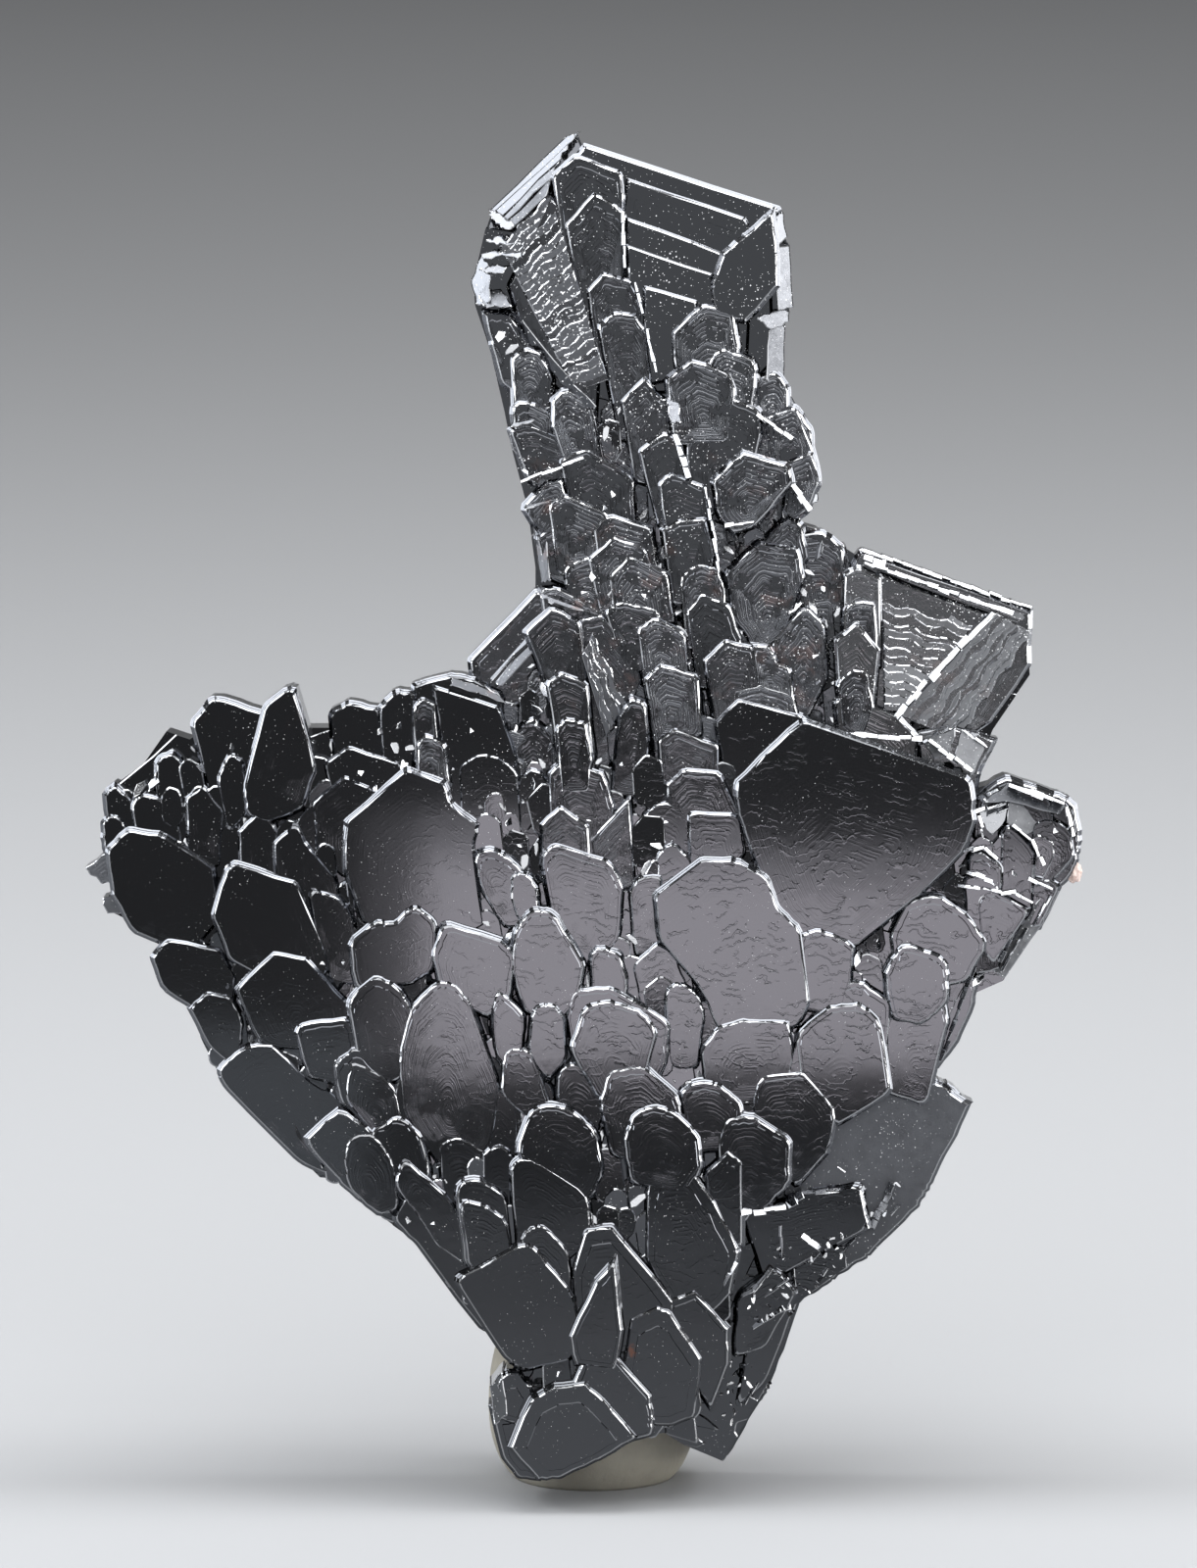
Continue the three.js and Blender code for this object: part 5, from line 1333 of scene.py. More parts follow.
@dataclass(frozen=True)
class PuttyFinish:
    """Cream-grey mounting putty, matt and a little uneven."""

    colour: Colour = (0.35, 0.33, 0.275, 1.0)
    shade: Colour = (0.26, 0.245, 0.205, 1.0)
    cloud_scale: float = 260.0
    grain_scale: float = 3200.0
    relief_height: float = 0.2

    def material(self) -> bpy.types.Material:
        """Builds the material."""
        sheet = Sheet("putty")
        place = sheet.node("ShaderNodeTexCoord", {}, {}, "Object")
        cloud = sheet.noise(place, self.cloud_scale, 4.0, 0.55)
        grain = sheet.noise(place, self.grain_scale, 3.0, 0.6)
        return sheet.surface(
            {
                "Base Color": sheet.mix(cloud.band(0.35, 0.7), self.shade, self.colour),
                "Roughness": cloud * 0.2 + 0.55,
                "Normal": sheet.bump(grain * 0.4 + cloud, 0.5, self.relief_height * MM),
                "Subsurface Weight": 0.08,
                "Subsurface Radius": (0.0015, 0.001, 0.0006),
                "Subsurface Scale": 1.0,
            }
        )


@dataclass(frozen=True)
class GrainFinish:
    """Pinkish-white grain of another mineral, dull and granular."""

    colour: Colour = (0.80, 0.66, 0.61, 1.0)
    shade: Colour = (0.58, 0.42, 0.37, 1.0)
    speckle_scale: float = 4200.0
    relief_height: float = 0.1

    def material(self) -> bpy.types.Material:
        """Builds the material."""
        sheet = Sheet("pale_mineral")
        place = sheet.node("ShaderNodeTexCoord", {}, {}, "Object")
        speckle = sheet.noise(place, self.speckle_scale, 4.0, 0.7)
        return sheet.surface(
            {
                "Base Color": sheet.mix(speckle.band(0.35, 0.65), self.shade, self.colour),
                "Roughness": speckle * 0.3 + 0.4,
                "Normal": sheet.bump(speckle, 0.5, self.relief_height * MM),
            }
        )


@dataclass(frozen=True)
class FloorFinish:
    """Plain pale studio floor."""

    colour: Colour = (0.335, 0.342, 0.355, 1.0)

    def material(self) -> bpy.types.Material:
        """Builds the material."""
        return Sheet("studio_floor").surface({"Base Color": self.colour, "Roughness": 0.7})


def level_at_top(outline: Outline) -> float:
    """Gives w of the stepping front at the middle of an outline's two highest corners."""
    first, second = sorted(outline, key=lambda corner: -corner[1])[:2]
    return front_level((first[0] + second[0]) / 2.0, (first[1] + second[1]) / 2.0)


def depth_in(outline: Outline, u: float, v: float) -> float:
    """Gives how far inside an outline a point lies.

    Args:
        outline: corners in order.
        u: the point, across.
        v: the point, up.

    Returns:
        The distance to the nearest edge, below zero when the point is outside.
    """
    hit = False
    nearest = math.inf
    for (u0, v0), (u1, v1) in zip(outline, outline[1:] + outline[:1]):
        if (v0 > v) != (v1 > v) and u < (u1 - u0) * (v - v0) / (v1 - v0) + u0:
            hit = not hit
        along = Vector((u1 - u0, v1 - v0))
        share = max(0.0, min(1.0, ((u - u0) * along.x + (v - v0) * along.y) / along.length_squared))
        nearest = min(nearest, math.hypot(u0 + along.x * share - u, v0 + along.y * share - v))
    return nearest if hit else -nearest


def inside(outline: Outline, u: float, v: float, margin: float = 0.0) -> bool:
    """Tells whether a point lies inside an outline and at least a margin from its edges."""
    return depth_in(outline, u, v) > margin


def irregular_hexagon(u: float, v: float, radius: float, draws: random.Random) -> Outline:
    """Gives a six-sided outline, its corners moved a little.

    Args:
        u: its middle, across.
        v: its middle, up.
        radius: how far from there the corners usually lie.
        draws: the source of random draws.

    Returns:
        The six corners.
    """
    corners = []
    for corner in range(6):
        sway = draws.uniform(-HEXAGON_SWAY_DEG, HEXAGON_SWAY_DEG)
        angle = math.radians(HEXAGON_START_DEG + 60.0 * corner + sway)
        reach = radius * draws.uniform(*HEXAGON_REACHES)
        corners.append((u + reach * math.cos(angle), v + HEXAGON_LENGTH * reach * math.sin(angle)))
    return corners


@dataclass(frozen=True)
class Sowing:
    """How small crystals are strewn over an area: mm, with the area's left, bottom, right and top."""

    spacing: float
    radii: Point
    area: tuple[float, float, float, float]
    shift: float = 0.25

    def places(self, draws: random.Random) -> list[Point3]:
        """Gives places in staggered rows, each moved a little, with a radius for each.

        Args:
            draws: the source of random draws.

        Returns:
            u, v and radius of each place.
        """
        left, bottom, right, top = self.area
        places = []
        for row in range(int((top - bottom) / self.spacing)):
            for column in range(int((right - left) / self.spacing)):
                u = left + (column + 0.5 * (row % 2) + draws.uniform(-self.shift, self.shift)) * self.spacing
                v = bottom + (row + draws.uniform(-self.shift, self.shift)) * self.spacing
                places.append((u, v, draws.uniform(*self.radii)))
        return places


@dataclass
class FrontPlates:
    """The large and middle-sized front plates, the ledged sides, and the faces that stand at an angle."""

    plates: Plates
    foot_reach: float = 1.3
    foot_level: float = 1.9
    foot_shares: Point = (0.15, 1.2)
    foot_margin: float = 0.8
    base_level: float = 4.75
    ledge_sway: float = 0.9
    ledge_shift: float = 0.3
    ripple: float = 0.1
    ripple_sway: float = 0.4
    ripple_step: float = 0.33
    ripple_turn: float = 3.4
    # painted highlight: how much the angled broken faces of the second table are brightened
    painted_bright: float = 0.25

    def build(self) -> list[bpy.types.Mesh]:
        """Makes all of them, place by place."""
        meshes = [mesh for growth, table in self._places() for mesh in self._at_place(table, growth)]
        return meshes + [self._base_plate()] + self._ledges() + self._facets()

    @staticmethod
    def _places() -> list[tuple[Growth, PlateTable]]:
        """Gives each place's way of growing and its plates."""
        sharp = Growth(corner=0.12, rings=1, ring_gap=0.5)
        scales = Growth(corner=0.2, rings=1, ring_gap=0.25, lines=1.2, dull=0.2, edge_glint=0.65)
        smooth = Growth(corner=0.15, rings=1, ring_gap=0.3, lines=0.35, dull=0.2, edge_glint=0.65)
        rounded = Growth(corner=0.4, curve=2, rings=1, ring_gap=0.2, ring_step=0.03)
        wing = Growth(corner=0.22, edge_glint=0.2)
        plain = Growth(corner=0.45, curve=2, edge_glint=0.3)
        broad = Growth(corner=0.25, lines=0.05, edge_glint=0.25)
        return [
            (Growth(corner=0.1, lines=0.05), TOP_CRYSTAL),
            (smooth, SPINE),
            (scales, TRUNK_LEFT),
            (scales, TRUNK_RIGHT),
            (smooth, CENTRE_LEFT_CRYSTAL),
            (scales, SMALL_UPPER),
            # painted highlight: the block's faces are brightened a little
            (Growth(corner=0.12, lines=0.4, dull=0.4, glint=0.15), RIGHT_BLOCK),
            (broad, BIG_PLATES),
            (replace(broad, lines=0.06, tilt_deg=0.0, lean_deg=0.22), LARGEST_PLATE),
            (rounded, RIGHT_WING),
            (wing, LEFT_WING),
            (rounded, MIDDLE),
            (plain, SMALL_LOWER),
            (plain, LOWER_LEFT),
            (sharp, LOWER_RIGHT),
            (sharp, TIP),
        ]

    def _at_place(self, table: PlateTable, growth: Growth) -> list[bpy.types.Mesh]:
        """Makes the plates of one place.

        Args:
            table: their rises and outlines.
            growth: how they grew.

        Returns:
            Their closed meshes.
        """
        least, most = self.foot_shares
        meshes = []
        for rise, outline in table:
            level = level_at_top(outline)
            share = max(least, min(most, self.foot_level - rise))
            longer = self._reach_down(outline, self.foot_reach * share)
            meshes.append(self.plates.plate(longer, level - PLATE_ROOT, level + rise, growth))
        return meshes

    def _reach_down(self, outline: Outline, reach: float) -> Outline:
        """Draws a plate's foot out under its lower neighbours, where they can hide it.

        Args:
            outline: the plate's corners.
            reach: how far down the lowest corner goes.

        Returns:
            The longer outline.
        """
        heights = [v for _, v in outline]
        middle = (max(heights) + min(heights)) / 2.0
        longer = []
        for u, v in outline:
            lower = v - reach * max(0.0, middle - v) / (middle - min(heights))
            longer.append((u, lower if inside(CORE_OUTLINE, u, lower, self.foot_margin) else v))
        return longer

    def _base_plate(self) -> bpy.types.Mesh:
        """Makes the bare, dull plate that the lower right stands on."""
        growth = Growth(corner=0.1, side=6, wobble=0.06, dull=1.0, lines=0.0)
        return self.plates.plate(BASE_PLATE, self.base_level - PLATE_ROOT, self.base_level, growth)

    def _ledges(self) -> list[bpy.types.Mesh]:
        """Makes the stairs of narrow wavy ledges on the sides of the larger crystals."""
        draws = self.plates.draws
        thin = Growth(corner=0.02, side=0, wobble=0.03, wall_out=0.04, ledges=0, lines=0.5, dull=1.5)
        meshes = []
        for first, last, count, rise_first, rise_last, glint in LEDGES:
            growth = replace(thin, tilt_deg=0.6, glint=glint)
            low = level_at_top(list(first)) + rise_first
            high = level_at_top(list(last)) + rise_last
            phase = draws.uniform(0.0, 6.0)
            for step in range(count):
                phase += draws.uniform(-self.ledge_sway, self.ledge_sway)
                t = (step + draws.uniform(-self.ledge_shift, self.ledge_shift)) / count
                start = Vector(first[0]).lerp(Vector(last[0]), t)
                end = Vector(first[1]).lerp(Vector(last[1]), t)
                outline = self._wavy(start, end, phase) + [last[1], last[0]]
                level = low + (high - low) * t
                meshes.append(self.plates.plate(outline, level - PLATE_ROOT, level, growth))
        return meshes

    def _wavy(self, start: Vector, end: Vector, phase: float) -> Outline:
        """Draws a rippling line.

        Args:
            start: its first point.
            end: its last point.
            phase: where in a ripple it starts.

        Returns:
            The line's points.
        """
        along = end - start
        across = Vector((-along.y, along.x)).normalized()
        count = max(3, int(along.length / self.ripple_step))
        line = []
        for step in range(count + 1):
            t = step / count
            swing = self.ripple * math.sin(phase + t * along.length * self.ripple_turn)
            swing += self.plates.draws.uniform(-self.ripple_sway, self.ripple_sway) * self.ripple
            line.append(tuple(start + along * t + across * (swing if 0 < step < count else 0.0)))
        return line

    def _facets(self) -> list[bpy.types.Mesh]:
        """Makes the faces that stand at an angle."""
        clear = Growth(corner=0.08, wobble=0.07, bevel=0.05, bevel_drop=0.04, wall_out=0.05, ledges=0)
        clear = replace(clear, lines=0.4, dull=0.9)
        # painted highlight: the second table's faces are dull and painted brighter
        painted_bright = replace(clear, dull=2.0, glint=self.painted_bright)
        meshes = []
        for table, growth in ((FACETS, clear), (PAINTED_BRIGHT_FACETS, painted_bright)):
            for rise, right, up, outline in table:
                level = level_at_top(outline)
                turn = (right, up)
                meshes.append(self.plates.facet(outline, level - PLATE_ROOT, level + rise, turn, growth))
        return meshes


@dataclass
class BrokenEdges:
    """The broken bright edges: rows of short strips that lean to catch the light."""

    plates: Plates
    part: float = 0.55
    part_starts: Point = (-0.2, 0.1)
    part_ends: Point = (0.9, 1.2)
    aside: float = 0.05
    half_widths: Point = (0.35, 0.65)
    facing_down: float = -0.3
    root: float = 1.6

    def build(self) -> list[bpy.types.Mesh]:
        """Makes all strips: first on the front plates, then on the low ground."""
        meshes = []
        for start, end, width, rise in STROKES:
            for low, high in self._parts_of(start, end):
                middle = (low + high) / 2.0
                meshes.append(self._strip(low, high, width, front_level(middle.x, middle.y) + rise))
        for start, end, width, level in LOW_STROKES:
            meshes += [self._strip(low, high, width, level) for low, high in self._parts_of(start, end)]
        return meshes

    def _parts_of(self, start: Point, end: Point) -> list[tuple[Vector, Vector]]:
        """Breaks a line into short parts, each moved a little to one side.

        Args:
            start: its first point.
            end: its last point.

        Returns:
            The first and the last point of each part.
        """
        draws = self.plates.draws
        along = Vector(end) - Vector(start)
        count = max(1, round(along.length / self.part))
        across = Vector((-along.y, along.x)).normalized()
        parts = []
        for step in range(count):
            shift = across * draws.uniform(-self.aside, self.aside)
            low = Vector(start) + along * ((step + draws.uniform(*self.part_starts)) / count) + shift
            high = Vector(start) + along * ((step + draws.uniform(*self.part_ends)) / count) + shift
            parts.append((low, high))
        return parts

    def _strip(self, low: Vector, high: Vector, width: float, level: float) -> bpy.types.Mesh:
        """Makes one short strip that leans to the left of its run, or to the right if the left faces down.

        Args:
            low: where it starts.
            high: where it ends.
            width: the usual width of such strips, in mm.
            level: w of its middle.

        Returns:
            The closed mesh.
        """
        along = (high - low).normalized()
        across = Vector((-along.y, along.x))
        half = across * (width * self.plates.draws.uniform(*self.half_widths))
        outline = [tuple(low - half), tuple(high - half), tuple(high + half), tuple(low + half)]
        facing = -across if across.y < self.facing_down else across
        turn = max(LIT_TURNS, key=lambda way: facing.dot(Vector(way).normalized()))
        growth = replace(SLIVER, wobble=0.03, dull=0.5)
        return self.plates.facet(outline, level - self.root, level, turn, growth)


@dataclass
class SmallCrystals:
    """The small plates that fill the ground between the large ones, and the small leaning crystals."""

    plates: Plates
    upper: Sowing = Sowing(1.05, (0.55, 0.95), (-7.0, 38.0, 26.0, 70.0))
    upper_rises: Point = (-0.45, 0.35)
    lower: Sowing = Sowing(1.25, (0.55, 1.05), (-26.0, 0.0, 26.0, 38.0))
    lower_rises: Point = (0.0, 0.7)
    leaning: Sowing = Sowing(1.0, (0.13, 0.36), (-26.0, 4.0, 26.0, 66.0))
    leaning_margin: float = 0.2
    strewn: Sowing = Sowing(0.5, (0.06, 0.17), (5.0, 2.0, 17.0, 17.0))
    strewn_depth: float = 0.35
    overhang: float = 0.8
    quiet_overlap: float = 0.9
    foot: float = 0.8
    foot_margin: float = 0.3
    lean_most: float = 1.2
    lean_shape: Point = (0.65, 1.3)
    turn_sway: Point = (8.0, 6.0)
    lean_rises: Point = (0.0, 0.6)

    def build(self) -> list[bpy.types.Mesh]:
        """Makes the small plates of the upper and the lower ground, then the leaning crystals."""
        draws = self.plates.draws
        small = Growth(side=0, bevel_drop=0.06, wall_out=0.08, ledges=0)
        scaly = replace(small, corner=0.12, bevel=0.06, tilt_deg=6.0, lines=1.2, dull=0.4)
        clear = replace(small, corner=0.2, bevel=0.07, tilt_deg=1.0)
        meshes = []
        top = TOP_CRYSTAL[0][1]
        for u, v, radius in self.upper.places(draws):
            if self._open_ground(u, v, self.overhang * radius) and not inside(top, u, v):
                meshes.append(self._filler((u, v, radius), self.upper_rises, scaly))
        for u, v, radius in self.lower.places(draws):
            if self._open_ground(u, v, self.overhang * radius):
                meshes.append(self._filler((u, v, radius), self.lower_rises, clear))
        for u, v, radius in self.leaning.places(draws):
            if self._open_ground(u, v, radius + self.leaning_margin) and not inside(top, u, v):
                meshes.append(self._leaning((u, v, radius), front_level(u, v)))
        for level, outline in STREWN:
            for u, v, radius in self.strewn.places(draws):
                if inside(outline, u, v):
                    meshes.append(self._leaning((u, v, radius), level - self.strewn_depth))
        return meshes

    def _open_ground(self, u: float, v: float, margin: float) -> bool:
        """Tells whether small plates grow at a place: not over the edge, nor on ground that stays bare.

        Args:
            u: the place, across.
            v: the place, up.
            margin: how far from the bare ground it has to be.

        Returns:
            Whether they do.
        """
        if not inside(CORE_OUTLINE, u, v, margin) or inside(QUIET_GROUND, u, v):
            return False
        quiet = [[first[0], first[1], last[1], last[0]] for first, last, *_ in LEDGES]
        quiet += [outline for *_, outline in FACETS + PAINTED_BRIGHT_FACETS] + [RIGHT_BLOCK[0][1]]
        return not any(depth_in(outline, u, v) > -self.quiet_overlap * margin for outline in quiet)

    def _filler(self, place: Point3, rises: Point, growth: Growth) -> bpy.types.Mesh:
        """Makes one small plate.

        Args:
            place: u and v of its middle, and its radius.
            rises: how far it stands out of the stepping front, at least and at most.
            growth: how it grew.

        Returns:
            The closed mesh.
        """
        u, v, radius = place
        level = front_level(u, v)
        outline = []
        for across, along in irregular_hexagon(u, v, radius, self.plates.draws):
            lower = along - self.foot * radius
            hidden = along < v and inside(CORE_OUTLINE, across, lower, self.foot_margin)
            outline.append((across, lower if hidden else along))
        rise = self.plates.draws.uniform(*rises)
        return self.plates.plate(outline, level - PLATE_ROOT, level + rise, growth)

    def _leaning(self, place: Point3, level: float) -> bpy.types.Mesh:
        """Makes one small crystal that leans to one side, so that it catches the light.

        Args:
            place: u and v of its middle, and its radius.
            level: w of the ground that it stands on.

        Returns:
            The closed mesh.
        """
        u, v, radius = place
        draws = self.plates.draws
        way = draws.uniform(-self.lean_most, self.lean_most)
        outline = []
        for across, along in irregular_hexagon(0.0, 0.0, radius, draws):
            across, along = self.lean_shape[0] * across, self.lean_shape[1] * along
            right = across * math.cos(way) - along * math.sin(way)
            up = across * math.sin(way) + along * math.cos(way)
            outline.append((u + right, v + up))
        right, up = draws.choice(SPARKLES)
        sway_right, sway_up = self.turn_sway
        turn = (right + draws.uniform(-sway_right, sway_right), up + draws.uniform(-sway_up, sway_up))
        rise = draws.uniform(*self.lean_rises)
        growth = replace(SLIVER, wobble=0.04, dull=0.6)
        return self.plates.facet(outline, level - PLATE_ROOT, level + rise, turn, growth)


@dataclass
class Core:
    """The layered core between the cones of the front and the back, with flat steps of bare ground on it."""

    plates: Plates
    below_front: float = 1.9
    layer_height: float = 0.62
    layer_overlap: float = 0.05
    layer_jitter: float = 0.22
    cone_radius: float = 80.0
    cone_sides: int = 72
    terrace_below: float = 0.75
    terrace_first: float = 0.5
    terrace_last: float = 0.3
    terrace_root: float = 1.6
    terrace_height: float = 0.3
    terrace_sides: int = 80
    terrace_sway: float = 1.2

    def build(self, joiner: Joiner, limit: bpy.types.Mesh) -> bpy.types.Mesh:
        """Makes the core.

        Args:
            joiner: what joins and cuts the meshes.
            limit: the body that the terraces are cut to.

        Returns:
            The closed mesh.
        """
        reach = REACH - self.cone_radius
        rim_front = FRONT_SLOPE * reach - self.below_front
        middle_front = FRONT_SLOPE * REACH - self.below_front
        rim_back = BACK_AT_RIM + BACK_SLOPE * reach
        middle_back = BACK_AT_RIM + BACK_SLOPE * REACH
        layers = self._layers(rim_back, middle_front)
        between = self._cones((middle_back, rim_back), (middle_front, rim_front))
        core = joiner.combine(joiner.union(layers), between, Operation.INTERSECT)
        terraces = joiner.combine(joiner.union(self._terraces()), limit, Operation.INTERSECT)
        return joiner.combine(core, terraces, Operation.UNION)

    def _layers(self, back: float, front: float) -> list[bpy.types.Mesh]:
        """Makes the layers that show at the rim, from the back to the front.

        Args:
            back: w of the first layer's back.
            front: w where the layers end.

        Returns:
            Their closed meshes.
        """
        meshes = []
        level = back
        while level < front:
            out = -self.plates.draws.uniform(0.0, self.layer_jitter)
            rim = offset_outline(anticlockwise(CORE_OUTLINE), out)
            top = min(level + self.layer_height, front)
            meshes.append(self.plates.slab(rim, level - self.layer_overlap, top))
            level += self.layer_height
        return meshes

    def _circle(self, count: int, reach: float, sway: float = 0.0) -> Outline:
        """Gives a round outline about the focus, each corner moved in or out by up to a sway.

        Args:
            count: how many corners.
            reach: radius, in mm.
            sway: the most that a corner moves, in mm.

        Returns:
            The outline.
        """
        outline = []
        for side in range(count):
            angle = 2.0 * math.pi * side / count
            r = reach + self.plates.draws.uniform(-sway, sway) if sway else reach
            outline.append((FOCUS[0] + r * math.cos(angle), FOCUS[1] + r * math.sin(angle)))
        return outline

    def _terraces(self) -> list[bpy.types.Mesh]:
        """Makes the flat steps of the ground that show between the plates."""
        flat = Growth(corner=0.15, side=0, bevel=0.06, bevel_drop=0.06, wall_out=0.05, ledges=0)
        growth = replace(flat, tilt_deg=0.0)
        meshes = []
        level = -self.terrace_below + self.terrace_first
        while level < FRONT_SLOPE * REACH - self.terrace_below - self.terrace_last:
            reach = REACH - (level + self.terrace_below) / FRONT_SLOPE
            outline = self._circle(self.terrace_sides, reach, self.terrace_sway)
            meshes.append(self.plates.plate(outline, level - self.terrace_root, level, growth))
            level += self.terrace_height
        return meshes

    def _cones(self, back: Point, front: Point) -> bpy.types.Mesh:
        """Makes the body between two cones about the focus, each given by w of its middle and of its rim.

        Args:
            back: the cone behind.
            front: the cone in front.

        Returns:
            The closed mesh.
        """
        body = bmesh.new()
        low = body.verts.new((*FOCUS, back[0]))
        high = body.verts.new((*FOCUS, front[0]))
        circle = self._circle(self.cone_sides, self.cone_radius)
        lower, upper = [[body.verts.new((u, v, level)) for u, v in circle] for level in (back[1], front[1])]
        for side in range(self.cone_sides):
            following = (side + 1) % self.cone_sides
            body.faces.new((lower[side], lower[following], upper[following], upper[side]))
            body.faces.new((lower[following], lower[side], low))
            body.faces.new((upper[side], upper[following], high))
        return to_triangles(body, "cones")


@dataclass
class BackPlates:
    """The plain plates of the back, which face away from the viewer."""

    plates: Plates
    rise: float = 0.9
    root: float = 1.2
    small: Sowing = Sowing(3.0, (1.5, 2.6), (-26.0, 2.0, 26.0, 70.0))
    small_rises: Point = (0.1, 0.8)
    small_margin: float = 0.3

    def build(self) -> list[bpy.types.Mesh]:
        """Makes the large plates, then the small ones between them."""
        large = Growth(corner=0.4, wall_out=0.3, ledges=3, rings=3, ring_gap=0.7, tilt_deg=0.3)
        small = Growth(corner=0.3, side=1, wall_out=0.2, rings=1, ring_gap=0.4, tilt_deg=0.4)
        meshes = [self._plate(place, self.rise, large) for place in BACK_PLATES]
        for u, v, radius in self.small.places(self.plates.draws):
            if inside(CORE_OUTLINE, u, v, radius * self.small_margin):
                rise = self.plates.draws.uniform(*self.small_rises) * self.rise
                meshes.append(self._plate((u, v, radius), rise, small))
        return meshes

    def _plate(self, place: Point3, rise: float, growth: Growth) -> bpy.types.Mesh:
        """Makes one plate, first as if it faced the viewer, and turns it round.

        Args:
            place: u and v of its middle, and its radius.
            rise: how far it stands out of the stepping back.
            growth: how it grew.

        Returns:
            The closed mesh.
        """
        u, v, radius = place
        level = -back_level(u, v)
        outline = [(-point[0], point[1]) for point in irregular_hexagon(u, v, radius, self.plates.draws)]
        mesh = self.plates.plate(outline, level - self.root, level + rise, growth)
        mesh.transform(Matrix.Rotation(math.pi, 4, "Y"))
        return mesh


@dataclass
class CrystalGroup:
    """The crystals: a layered core under shingled front plates and plain back plates."""

    limit_reach: float = 20.0
    finish: HematiteFinish = field(default_factory=HematiteFinish)

    def build(self, offset: Vector) -> bpy.types.Object:
        """Builds the joined crystals and stands them in the frame.

        Args:
            offset: where the drawing's origin goes in the frame, in metres.

        Returns:
            The finished piece.
        """
        plates = Plates(random.Random(SEED))
        joiner = Joiner()
        front = FrontPlates(plates).build() + BrokenEdges(plates).build()
        LOG.info("front plates: %d", len(front))
        fillers = SmallCrystals(plates).build()
        LOG.info("small plates between them: %d", len(fillers))
        outside = joiner.union(front + fillers)
        limit = plates.slab(CORE_OUTLINE, -self.limit_reach, self.limit_reach)
        core = Core(plates).build(joiner, limit)
        backs = joiner.combine(joiner.union(BackPlates(plates).build()), limit, Operation.INTERSECT)
        whole = joiner.union([core, outside, backs])
        joiner.close()
        whole.transform(standing(offset))
        self._clean(whole)
        whole.materials.clear()
        whole.materials.append(self.finish.material())
        return put_in_scene("crystal_group", whole)

    def _clean(self, mesh: bpy.types.Mesh) -> None:
        """Keeps the one large shell, splits every face into triangles and makes it flat-shaded.

        Args:
            mesh: the joined crystals.
        """
        body = bmesh.new()
        body.from_mesh(mesh)
        bmesh.ops.delete(body, geom=self._pockets(body), context="VERTS")
        bmesh.ops.triangulate(body, faces=[face for face in body.faces if len(face.verts) > 3])
        for face in body.faces:
            face.smooth = False
        body.to_mesh(mesh)
        body.free()

    @staticmethod
    def _pockets(body: bmesh.types.BMesh) -> list[bmesh.types.BMVert]:
        """Gives the points of every shell but the largest.

        Args:
            body: the joined crystals.

        Returns:
            The points.
        """
        shells = []
        waiting = set(body.verts)
        while waiting:
            shell = [waiting.pop()]
            for vert in shell:
                near = {edge.other_vert(vert) for edge in vert.link_edges} & waiting
                waiting -= near
                shell.extend(near)
            shells.append(shell)
        shells.sort(key=len)
        return [vert for shell in shells[:-1] for vert in shell]


